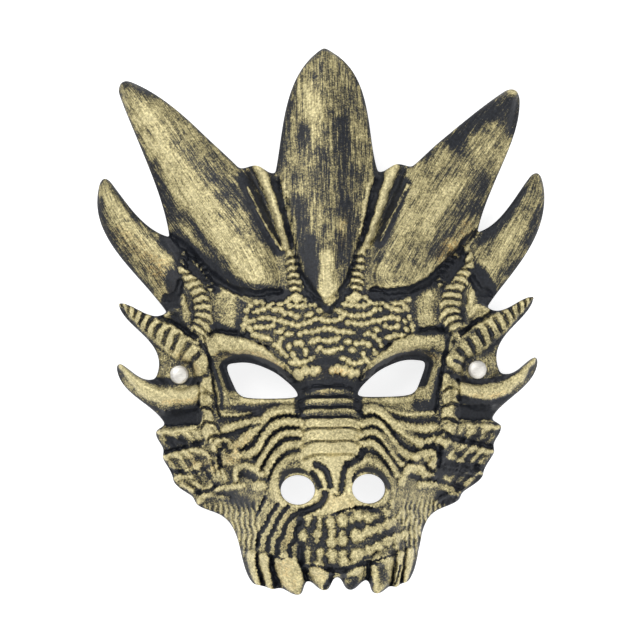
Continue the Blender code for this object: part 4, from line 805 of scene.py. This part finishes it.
def model_shift():
    """How far the model was moved to lie centred on the origin, read from its left rivet."""
    low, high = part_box("rivet_left")
    middle = np.array([(low.x + high.x) / 2, (low.y + high.y) / 2])
    foot = FORM["rivet"][2] * UNIT - WALL - FIT_GAP - WASHER_THICKNESS
    shift = middle - rivet_place(-1.0)
    return np.array([shift[0], shift[1], low.z - foot])


def camera_turn():
    """The camera's turn, as a matrix."""
    turn = Matrix.Rotation(CAMERA_YAW, 3, "Y") @ Matrix.Rotation(-CAMERA_PITCH, 3, "X")
    return turn @ Matrix.Rotation(CAMERA_ROLL, 3, "Z")


def roughen(across, up):
    """The places moved by short ripples, which give strokes and folds their uneven edges."""
    rough_a = (across + 0.07 * np.sin(5.1 * up + 2.3 * across) + 0.05 * np.sin(9.7 * up - 4.1 * across)
               + 0.05 * np.sin(16.3 * up + 7.9 * across))
    rough_b = (up + 0.07 * np.sin(5.7 * across - 1.9 * up) + 0.05 * np.sin(10.3 * across + 3.7 * up)
               + 0.05 * np.sin(17.9 * across - 6.1 * up))
    return rough_a, rough_b


class Face:
    """The form and the carving of the mask over the plane."""

    def __init__(self):
        self.form = solve_form()
        self.eye = Path([point + (4.0,) for point in EYE + EYE[:1]])
        self.vaults = [(Path(spine), rise) for spine, rise in (CROWN, HORN, SIDE_HORN, SMOOTH_SPIKE)]
        self.lip = np.array(LIP_LINE)
        self.shift = model_shift()

    def body(self, across, up):
        """Smooth height that the back of the wall follows too."""
        side = np.abs(across)
        height = smooth_form(across, up, self.form)
        for path, rise in self.vaults:
            vault(height, side, up, path, rise)
        where, gap, _, _, _ = self.eye.meet(side, up)
        depth = 1.0 + 1.9 * smoothstep(35.0, 41.0, up[where])
        height[where] -= depth * (1.0 - smoothstep(0.4, 2.6, gap))
        lip_up = np.interp(side, self.lip[:, 0], self.lip[:, 1])
        height -= GUM_DROP * smoothstep(0.2, -0.9, up - lip_up) * (side < 17.0)
        return self.level_pads(side, up, height)

    def level_pads(self, side, up, height):
        """Level the wall round each rivet, so that both of its heads lie flat."""
        gap = np.hypot(side - RIVET[0], up - RIVET[1])
        level = FORM["rivet"][2]
        return height + (level - height) * (1.0 - smoothstep(RIVET_PAD, RIVET_PAD + 1.6, gap))

    def place(self, spots):
        """The places on the face that show at pixels of the photo."""
        turn = camera_turn()
        eye = np.array(CAMERA_AIM + turn @ Vector((0.0, 0.0, CAMERA_DISTANCE)))
        scale = METRES_PER_PIXEL / CAMERA_DISTANCE
        middle = PHOTO_SIZE / 2
        rays = np.array([((x - middle) * scale, (middle - y) * scale, -1.0) for x, y in spots])
        rays = rays @ np.array(turn).T
        across, up = np.zeros(len(rays)), np.full(len(rays), 40.0)
        height = np.full(len(rays), 12.0)
        for _ in range(PLACE_ROUNDS):
            reach = (height * UNIT + self.shift[2] - eye[2]) / rays[:, 2]
            cast_a = (eye[0] + rays[:, 0] * reach - self.shift[0]) / UNIT
            cast_b = (eye[1] + rays[:, 1] * reach - self.shift[1]) / UNIT
            moved_a, moved_b = settle(across, up)
            across, up = across + cast_a - moved_a, up + cast_b - moved_b
            height = self.body(across, up)
        return np.column_stack([across, up])

    def lines(self, name, rows):
        """Lines read from an enlargement, as places on the face."""
        left, top, scale = ENLARGED[name]
        lines = [np.reshape(row, (-1, 2)) / scale + (left, top) for row in rows]
        return np.split(self.place(np.concatenate(lines)), np.cumsum([len(line) for line in lines])[:-1])

    def traced(self, groups):
        """The paths of a table, each with its amount."""
        for name, rows in groups.items():
            unit = METRES_PER_PIXEL / UNIT / ENLARGED[name][2]
            for (amount, width, *_), line in zip(rows, self.lines(name, [row[2:] for row in rows])):
                yield Path(line, width * unit), amount

    def carving(self, across, up):
        """Height of the carving above the smooth form."""
        wave_a = across + 0.10 * np.sin(1.9 * up + 0.7 * across) + 0.06 * np.sin(4.3 * up - 1.1 * across)
        wave_b = up + 0.12 * np.sin(1.6 * across + 0.5 * up) + 0.07 * np.sin(4.7 * across + 0.9 * up)
        side = np.abs(wave_a)
        height = np.zeros(len(side))
        for points, rise, power in FOLDS.values():
            ridge(height, side, wave_b, Path(points), rise, power)
        for points, depth in GROOVES.values():
            ridge(height, side, wave_b, Path(points), -depth, GROOVE_POWER)
        for spine, rise, pitch, cut, other in RIBBED:
            rungs(height, side, wave_b, Path(spine), rise, pitch, cut, **other)
        rough_a, rough_b = roughen(across, up)
        for path, rise in self.traced(TRACED_FOLDS):
            if rise > 0:
                ridge(height, rough_a, rough_b, path, rise, FOLD_POWER)
            else:
                ridge(height, rough_a, rough_b, path, GROOVE_CARVE * rise, GROOVE_POWER)
        ridge(height, side, wave_b, Path(RECESS), -RECESS_DEPTH, 0.35)
        for root_a, root_b, tip_a, tip_b, width in FINS:
            cone(height, side, wave_b, (root_a, root_b), (tip_a, tip_b), width, FIN_RISE)
        for root_a, root_b, tip_a, tip_b, width in TEETH:
            cone(height, np.abs(across), up, (root_a, root_b), (tip_a, tip_b), width, TOOTH_RISE,
                 0.95, 0.35)
        self.scales(height, across, up)
        self.nose(height, np.abs(across), up)
        self.jaw(height, side, up)
        self.fin_ribs(height, side, up)
        gap = np.hypot(np.abs(across) - RIVET[0], up - RIVET[1])
        return height * smoothstep(RIVET_PAD, RIVET_PAD + 1.0, gap)

    def scales(self, height, across, up):
        """Chains of scales on the forehead and beads on the lip, with the grooves between them."""
        for groups, sizes, seed in ((SCALE_CHAINS, SCALE_SIZES, 0.37), (BROW_LUMPS, LUMP_SIZES, 0.29)):
            lines = [line for name, rows in groups.items() for line in self.lines(name, rows)]
            for number, line in enumerate(lines):
                chain(height, across, up, Path(line, sizes[0]), *sizes, seed * number)
        rough_a, rough_b = roughen(across, up)
        for path, amount in self.traced(SNOUT_GROOVES):
            ridge(height, rough_a, rough_b, path, SNOUT_CARVE * amount, 0.8)
        for number, (path, rise) in enumerate(self.traced(LIP_BEADS)):
            chain(height, rough_a, rough_b, path, BEAD_SPREAD * path.width, rise, BEAD_PITCH, 0.31 * number)

    def nose(self, height, side, up):
        """Bands across the bridge, parted by narrow grooves, and a rim round each nostril."""
        bridge = smoothstep(6.4, 5.0, side) * smoothstep(24.6, 25.6, up) * smoothstep(38.4, 37.4, up)
        height += BRIDGE_RISE * bridge
        for level, reach in NOSE_GROOVES:
            line = [(0.0, level, 0.28), (0.6 * reach, level + 0.1, 0.3), (reach, level - 0.7, 0.36)]
            ridge(height, side, up, Path(line), -NOSE_GROOVE_DEPTH, 0.8)
        ring = np.hypot((side - NOSTRIL[0]) / NOSTRIL_RADII[0], (up - NOSTRIL[1]) / NOSTRIL_RADII[1])
        height += NOSTRIL_RIM * np.clip(1.0 - ((ring - 1.08) / 0.36) ** 2, 0.0, 1.0)

    def jaw(self, height, side, up):
        """Fine upright ripples on the sides of the muzzle."""
        zone = smoothstep(12.2, 13.6, side) * smoothstep(6.0, 8.0, up) * smoothstep(18.5, 15.0, up)
        turn = 2.0 * math.pi * (side - JAW_BEND * (up - 10.0) ** 2 + 0.08 * np.sin(1.3 * up)) / JAW_PITCH
        height += JAW_RISE * zone * np.cos(turn) * (0.8 + 0.2 * np.sin(2.1 * up))

    def fin_ribs(self, height, side, up):
        """Slanting ribs that run down over the fins of the cheek."""
        zone = smoothstep(22.6, 24.0, side) * smoothstep(15.0, 17.0, up) * smoothstep(30.6, 29.6, up)
        turn = 2.0 * math.pi * (side - 0.75 * up + 0.25 * np.sin(1.1 * up)) / RIB_PITCH
        height += zone * (RIB_RISE * np.cos(turn) + 0.07 * np.cos(3.1 * turn + 1.3 * np.sin(up)))

    def surfaces(self, across, up):
        """Body, carving and back heights at the points."""
        body = self.body(across, up)
        step = 0.25
        slope_a = (self.body(across + step, up) - self.body(across - step, up)) / (2 * step)
        slope_b = (self.body(across, up + step) - self.body(across, up - step)) / (2 * step)
        stretch = np.minimum(np.sqrt(1.0 + slope_a ** 2 + slope_b ** 2), MAX_WALL_STRETCH)
        return body, self.carving(across, up), body - WALL_UNITS * stretch


def hex_points(step, loops, low_up=-1e9, high_up=1e9):
    """Evenly spread points on the material between two levels, clear of every loop."""
    low, high = loops[0].min(0), loops[0].max(0)
    rows = np.arange(max(low[1], low_up), min(high[1], high_up), step * math.sqrt(0.75))
    columns = np.arange(low[0], high[0], step)
    across = np.concatenate([columns + (0.5 * step if index % 2 else 0.0) for index in range(len(rows))])
    up = np.repeat(rows, len(columns))
    kept = on_material(loops, across, up)
    across, up = across[kept], up[kept]
    clear = loop_distance(loops, across, up, 1.0) > 0.62 * step
    return np.column_stack([across[clear], up[clear]])


def sheet(loops, inner):
    """The plane's points, loops first, and the triangles that lie on the material."""
    points, edges = [], []
    for loop in loops:
        first = len(points)
        points.extend(Vector(point) for point in loop)
        edges.extend((first + k, first + (k + 1) % len(loop)) for k in range(len(loop)))
    points.extend(Vector(point) for point in inner)
    vertices, _, faces, _, _, _ = delaunay_2d_cdt(points, edges, [], 0, 1e-6)
    plane = np.array([tuple(vertex) for vertex in vertices])
    faces = np.array(faces)
    middles = plane[faces].mean(axis=1)
    return plane, faces[on_material(loops, middles[:, 0], middles[:, 1])]


def blur(values, faces, rounds):
    """Values averaged with their neighbours on the mesh, a number of times."""
    pairs = np.concatenate([faces[:, [0, 1]], faces[:, [1, 2]], faces[:, [2, 0]]])
    one, two = np.concatenate([pairs[:, 0], pairs[:, 1]]), np.concatenate([pairs[:, 1], pairs[:, 0]])
    count = np.maximum(np.bincount(one, minlength=len(values)), 1)
    for _ in range(rounds):
        values = 0.5 * values + 0.5 * np.bincount(one, values[two], len(values)) / count
    return values


def brushed(face, across, up, groups, spread=1.35):
    """The sum of the traced strokes at the points."""
    amount = np.zeros(len(across))
    for path, strength in face.traced(groups):
        where, gap, _, _, width = path.meet(across, up, 0.35 * path.width)
        amount[where] += strength * np.clip(1.0 - (gap / (spread * width)) ** 2, 0.0, 1.0) ** 1.4
    return amount


def brush_run(across, up):
    """How the brush ran: (aside, along) in the direction of each horn, and how much a place is a horn."""
    aside, along = across.copy(), up.copy()
    weight = np.zeros(len(across))
    for spine, sides in ((HORN[0], (-1, 1)), (SIDE_HORN[0], (-1, 1)), (CROWN[0], (0,))):
        path = Path(spine)
        for sign in sides:
            local = across * sign if sign else np.abs(across)
            where, gap, turn, run, width = path.meet(local, up)
            lateral = turn * gap / width if sign else across[where] / width
            on = (gap < 1.15 * width) & (weight[where] < 0.5)
            chosen = where[on]
            aside[chosen] = lateral[on] * np.maximum(width[on], 2.0) * (sign if sign else 1)
            along[chosen] = run[on]
            weight[chosen] = 1.0
    return aside, along, weight


def add_attribute(mesh, name, kind, values):
    """Store a value for each vertex under a name."""
    layer = mesh.attributes.new(name, kind, "POINT")
    field = {"FLOAT": "value", "FLOAT_VECTOR": "vector"}[kind]
    layer.data.foreach_set(field, np.ascontiguousarray(values, dtype=np.float32).ravel())


def make_shell(face):
    """The carved shell: a fine front sheet and a plainer back one, joined round every loop."""
    loops = face_loops(EDGE_STEP / UNIT)
    fine = hex_points(FACE_STEP / UNIT, loops, high_up=FACE_TOP)
    horns = hex_points(HORN_STEP / UNIT, loops, low_up=FACE_TOP + 0.2)
    front_plane, front_faces = sheet(loops, np.vstack([fine, horns]))
    back_plane, back_faces = sheet(loops, hex_points(BACK_STEP / UNIT, loops))
    body, carve, _ = face.surfaces(front_plane[:, 0], front_plane[:, 1])
    _, _, back = face.surfaces(back_plane[:, 0], back_plane[:, 1])
    edge = loop_distance(loops, front_plane[:, 0], front_plane[:, 1], 1.5)
    depth = np.clip(1.0 - edge / EDGE_ROUND, 0.0, 1.0)
    front = body + carve - EDGE_DROP * (1.0 - np.sqrt(np.clip(1.0 - depth ** 2, 0.0, 1.0)))
    count = len(front_plane)
    places = []
    for plane, height in ((front_plane, front), (back_plane, back)):
        moved_a, moved_b = settle(plane[:, 0], plane[:, 1])
        places.append(np.column_stack([moved_a, moved_b, height]) * UNIT + face.shift)
    border = sum(len(loop) for loop in loops)
    borders = {}
    for corners in front_faces[(front_faces < border).sum(axis=1) >= 2].tolist():
        for k, corner in enumerate(corners):
            borders[(corner, corners[(k + 1) % 3])] = True
    rims = [(b, a, a + count, b + count) for a, b in borders
            if (b, a) not in borders and a < border and b < border]
    faces = front_faces.tolist() + (back_faces[:, ::-1] + count).tolist() + rims
    mesh = bpy.data.meshes.new("mask_carved")
    mesh.from_pydata(np.concatenate(places).tolist(), [], faces)
    mesh.validate()
    paint(mesh, face, front_plane, front_faces, carve, edge, len(back_plane))
    mesh.shade_smooth()
    mesh.set_sharp_from_angle(angle=math.radians(62.0))
    return mesh


def fade(places, fades):
    """How far the places lie in a part that fades in over some directions."""
    share = 1.0
    for direction, none, full in fades:
        share = share * smoothstep(none, full, places[direction])
    return share


def relief_gold(carve, least, slope, stop):
    """Gold that grows with the height of the carving."""
    return least + slope * np.minimum(carve, stop)


def lay_gold(face, plane, faces, carve, edge, horn):
    """How much gold sits at the points: on what stands out of its surroundings, where it was brushed, less
    where shade is painted.
    """
    across, up = plane[:, 0], plane[:, 1]
    side = np.abs(across)
    places = {"across": across, "up": up, "side": side}
    near_mean, far_mean = blur(carve, faces, 8), blur(carve, faces, 90)
    gold = GOLD_MEAN + GOLD_ON_FINE * np.maximum(carve - near_mean, FINE_LOWEST)
    gold += GOLD_ON_BROAD * (near_mean - far_mean)
    gold += 0.1 * fade(places, (("side", 21.0, 18.0), ("up", 54.0, 50.0)))
    scaly = smoothstep(0.5, -0.2, side - np.interp(up, SCALY_UP, SCALY_REACH))
    scaly *= fade(places, (("up", 38.0, 39.0), ("up", 55.4, 54.6))) * (horn < 0.5)
    gold += scaly * (relief_gold(carve, *SCALY_GOLD) - gold)
    top, foot = np.interp(across, SNOUT_ACROSS, SNOUT_TOP), np.interp(across, SNOUT_ACROSS, SNOUT_FOOT)
    snout = smoothstep(top + 0.3, top - 0.3, up) * smoothstep(foot - 0.4, foot + 0.4, up)
    snout *= fade(places, (("across", -7.2, -6.4), ("across", 12.6, 11.4)))
    gold += snout * (relief_gold(carve, *SNOUT_GOLD) - gold)
    rough = roughen(across, up)
    gold += brushed(face, *rough, SNOUT_GROOVES, 1.05)
    # The grooves between the cheek folds: their black, widened with painted shade over the lower flanks of
    # the folds
    gaps = {name: [row for row in TRACED_FOLDS[name] if row[0] < 0] for name in ("left cheek", "right")}
    gold += GAP_BLACK_AND_SHADE * brushed(face, *rough, gaps, 2.0)
    # Painted shade on the lower side of each band of the nose
    for (level, reach), shade in zip(NOSE_GROOVES, NOSE_PAINTED_SHADE):
        gold -= shade * fade(places, (("up", level + 1.3, level + 0.3), ("up", level - 0.3, level),
                                      ("side", reach + 0.6, reach - 0.2)))
    for amount, fades in GOLD_ZONES.values():
        gold += amount * fade(places, fades)
    gold += brushed(face, across, up, BRUSHED_AND_SHADE)
    # Painted shade at the top of each eye socket, where the brow hangs over the socket's wall
    where, gap, _, _, _ = face.eye.meet(side, up)
    gold[where] -= SOCKET_PAINTED_SHADE * smoothstep(36.6, 38.2, up[where]) * (1.0 - smoothstep(1.1, 1.6, gap))
    return gold - EDGE_DARK * smoothstep(EDGE_ROUND, 0.0, edge)


def paint(mesh, face, plane, faces, carve, edge, back_count):
    """Store what the material reads: the gold, the painted warm glints, and how the brush ran on the horns.
    """
    across, up = plane[:, 0], plane[:, 1]
    aside, along, horn = brush_run(across, up)
    gold = lay_gold(face, plane, faces, carve, edge, horn)
    nothing = np.zeros(back_count)
    add_attribute(mesh, "gold", "FLOAT", np.concatenate([gold, nothing - 1.0]))
    add_attribute(mesh, "horn", "FLOAT", np.concatenate([blur(horn, faces, 4), nothing]))
    add_attribute(mesh, "painted_glint", "FLOAT", np.concatenate([brushed(face, across, up, PAINTED_WARM_GLINTS), nothing]))
    brush = np.column_stack([aside, along, 0.0 * along]) * UNIT
    add_attribute(mesh, "brush", "FLOAT_VECTOR", np.concatenate([brush, np.zeros((back_count, 3))]))


class Nodes:
    """Short ways to make and link the nodes of one material."""

    def __init__(self, name):
        self.material = bpy.data.materials.new(name)
        self.material.use_nodes = True
        self.tree = self.material.node_tree
        self.shader = self.tree.nodes["Principled BSDF"]

    def add(self, kind, **settings):
        node = self.tree.nodes.new(kind)
        for key, value in settings.items():
            setattr(node, key, value)
        return node

    def give(self, socket, value):
        if isinstance(value, tuple):
            socket.default_value = value + (1.0,)
        elif isinstance(value, (int, float)):
            socket.default_value = value
        else:
            self.tree.links.new(value, socket)

    def shade(self, **inputs):
        for name, value in inputs.items():
            self.give(self.shader.inputs[name.replace("_", " ")], value)

    def math(self, operation, one, two=None, clamp=False):
        node = self.add("ShaderNodeMath", operation=operation, use_clamp=clamp)
        for socket, value in zip(node.inputs, (one, two)):
            if value is not None:
                self.give(socket, value)
        return node.outputs[0]

    def around(self, value, middle, amount, clamp=False):
        return self.math("MULTIPLY", self.math("SUBTRACT", value, middle), amount, clamp)

    def scaled(self, value, factor, offset):
        return self.math("ADD", self.math("MULTIPLY", value, factor), offset)

    def attribute(self, name, output):
        return self.add("ShaderNodeAttribute", attribute_name=name).outputs[output]

    def noise(self, vector, scale, detail=2.0, roughness=0.5, stretch=None):
        if stretch is not None:
            mapping = self.add("ShaderNodeMapping")
            mapping.inputs["Scale"].default_value = stretch
            self.give(mapping.inputs["Vector"], vector)
            vector = mapping.outputs["Vector"]
        node = self.add("ShaderNodeTexNoise")
        node.inputs["Scale"].default_value = scale
        node.inputs["Detail"].default_value = detail
        node.inputs["Roughness"].default_value = roughness
        self.give(node.inputs["Vector"], vector)
        return node.outputs["Fac"]

    def ramp(self, value, stops):
        node = self.add("ShaderNodeValToRGB")
        elements = node.color_ramp.elements
        while len(elements) < len(stops):
            elements.new(0.5)
        for element, (position, colour) in zip(elements, stops):
            element.position = position
            element.color = tuple(colour) + (1.0,)
        self.give(node.inputs["Fac"], value)
        return node.outputs["Color"]

    def mix(self, share, one, two, blend="MIX"):
        node = self.add("ShaderNodeMix", data_type="RGBA", blend_type=blend)
        for index, value in ((0, share), (6, one), (7, two)):
            self.give(node.inputs[index], value)
        return node.outputs[2]

    def bump(self, height, strength, distance):
        node = self.add("ShaderNodeBump")
        for name, value in (("Strength", strength), ("Distance", distance), ("Height", height)):
            self.give(node.inputs[name], value)
        self.shade(Normal=node.outputs["Normal"])


def gilt_material():
    """Black foam skin under gold paint that was brushed on nearly dry, with painted warm glints on the gold.
    """
    nodes = Nodes("gold_over_black")
    spot = nodes.add("ShaderNodeTexCoord").outputs["Object"]
    brush = nodes.attribute("brush", "Vector")
    gold, horn, painted_glint = (nodes.attribute(name, "Fac") for name in ("gold", "horn", "painted_glint"))
    streak = nodes.noise(brush, 1.0, 4.0, 0.65, (600.0, 36.0, 1.0))
    hair = nodes.noise(brush, 1.0, 3.0, 0.6, (1900.0, 110.0, 1.0))
    speckle = nodes.noise(spot, 1100.0, 3.0, 0.7)
    streaks = nodes.math("ADD", nodes.around(streak, 0.5, 1.1), nodes.around(hair, 0.5, 1.0))
    streaks = nodes.math("MULTIPLY", streaks, nodes.scaled(horn, 1.1, 0.15))
    grains = nodes.math("MULTIPLY", nodes.around(speckle, 0.5, 2.0), nodes.scaled(horn, -0.35, 1.0))
    patches = nodes.around(nodes.noise(spot, 150.0, 4.0, 0.65), 0.5, 1.0)
    coat = nodes.math("ADD", nodes.math("ADD", gold, streaks), nodes.math("ADD", grains, patches), True)
    colour = nodes.ramp(coat, GOLD_RAMP)
    # Painted warm glints: the warm tint is broken up into spots, as glints of light on the gold
    glint = nodes.scaled(nodes.around(nodes.noise(spot, 480.0, 3.0, 0.6), 0.44, 6.0, True), 0.75, 0.1)
    glint_tint = nodes.mix(nodes.math("MULTIPLY", painted_glint, glint, True), (1.0, 1.0, 1.0), PAINTED_GLINT_TINT)
    grain = nodes.noise(spot, 760.0, 3.0, 0.65)
    grain = nodes.ramp(grain, [(0.38, (0.62, 0.62, 0.62)), (0.64, (1.3, 1.3, 1.3))])
    colour = nodes.mix(1.0, nodes.mix(1.0, colour, glint_tint, "MULTIPLY"), grain, "MULTIPLY")
    shown = nodes.ramp(coat, [(0.40, (0.0, 0.0, 0.0)), (0.60, (1.0, 1.0, 1.0))])
    nodes.shade(Base_Color=colour, Specular_IOR_Level=0.25, Metallic=nodes.math("MULTIPLY", shown, 0.3),
                Roughness=nodes.scaled(speckle, 0.2, 0.36))
    nodes.bump(nodes.math("ADD", speckle, nodes.math("MULTIPLY", hair, horn)), 0.5, 0.00012)
    return nodes.material


def nickel_material():
    """Bright nickel, lightly scuffed."""
    nodes = Nodes("scuffed_nickel")
    spot = nodes.add("ShaderNodeTexCoord").outputs["Object"]
    scuffs = nodes.noise(spot, 420.0, 4.0, 0.6, (1.0, 3.0, 1.0))
    colour = nodes.ramp(scuffs, [(0.35, (0.60, 0.58, 0.54)), (0.65, (0.72, 0.70, 0.66))])
    nodes.shade(Base_Color=colour, Metallic=1.0, Roughness=nodes.scaled(scuffs, 0.25, 0.36))
    nodes.bump(nodes.noise(spot, 260.0, 2.0), 0.15, 0.0002)
    return nodes.material


def link(name, data):
    """A new object in the scene."""
    thing = bpy.data.objects.new(name, data)
    bpy.context.scene.collection.objects.link(thing)
    return thing


def aim(thing, target):
    """Turn a light towards a point."""
    thing.rotation_euler = (Vector(target) - thing.location).to_track_quat("-Z", "Y").to_euler()


def make_studio():
    """A pale floor, soft light from above the crown, and a pale room."""
    mesh = bpy.data.meshes.new("floor")
    reach = 6.0
    mesh.from_pydata([(-reach, -reach, 0.0), (reach, -reach, 0.0), (reach, reach, 0.0), (-reach, reach, 0.0)],
                     [], [(0, 1, 2, 3)])
    floor = link("floor", mesh)
    nodes = Nodes("pale_floor")
    nodes.shade(Base_Color=(0.6, 0.6, 0.6), Roughness=0.9, Emission_Color=(1.0, 1.0, 1.0),
                Emission_Strength=0.8)
    mesh.materials.append(nodes.material)
    for name, place, size, power in LIGHTS:
        light = bpy.data.lights.new(name, "AREA")
        light.size, light.energy = size, power
        lamp = link(name, light)
        lamp.location = place
        aim(lamp, (0.0, 0.0, 0.03))
    world = bpy.data.worlds.new("room")
    world.use_nodes = True
    background = world.node_tree.nodes["Background"]
    background.inputs["Color"].default_value = (1.0, 1.0, 1.0, 1.0)
    background.inputs["Strength"].default_value = ROOM_LIGHT
    bpy.context.scene.world = world
    bpy.context.scene.view_settings.view_transform = "Standard"


def make_camera():
    """The camera looks down on the mask from where the photo was taken."""
    data = bpy.data.cameras.new("camera")
    data.sensor_width = SENSOR
    data.lens = SENSOR * CAMERA_DISTANCE / (PHOTO_SIZE * METRES_PER_PIXEL)
    camera = link("camera", data)
    turn = camera_turn()
    camera.location = CAMERA_AIM + turn @ Vector((0.0, 0.0, CAMERA_DISTANCE))
    camera.rotation_euler = turn.to_euler()
    bpy.context.scene.camera = camera


make_camera()
make_studio()
face = Face()
shell_mesh = make_shell(face)
shell_mesh.materials.append(gilt_material())
shell = link("mask_carved", shell_mesh)
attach(shell, "root")
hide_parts("mask_shell")
nickel = nickel_material()
for name in ("rivet_left", "rivet_right"):
    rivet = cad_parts[name]
    for slot in rivet.material_slots:
        slot.material = nickel
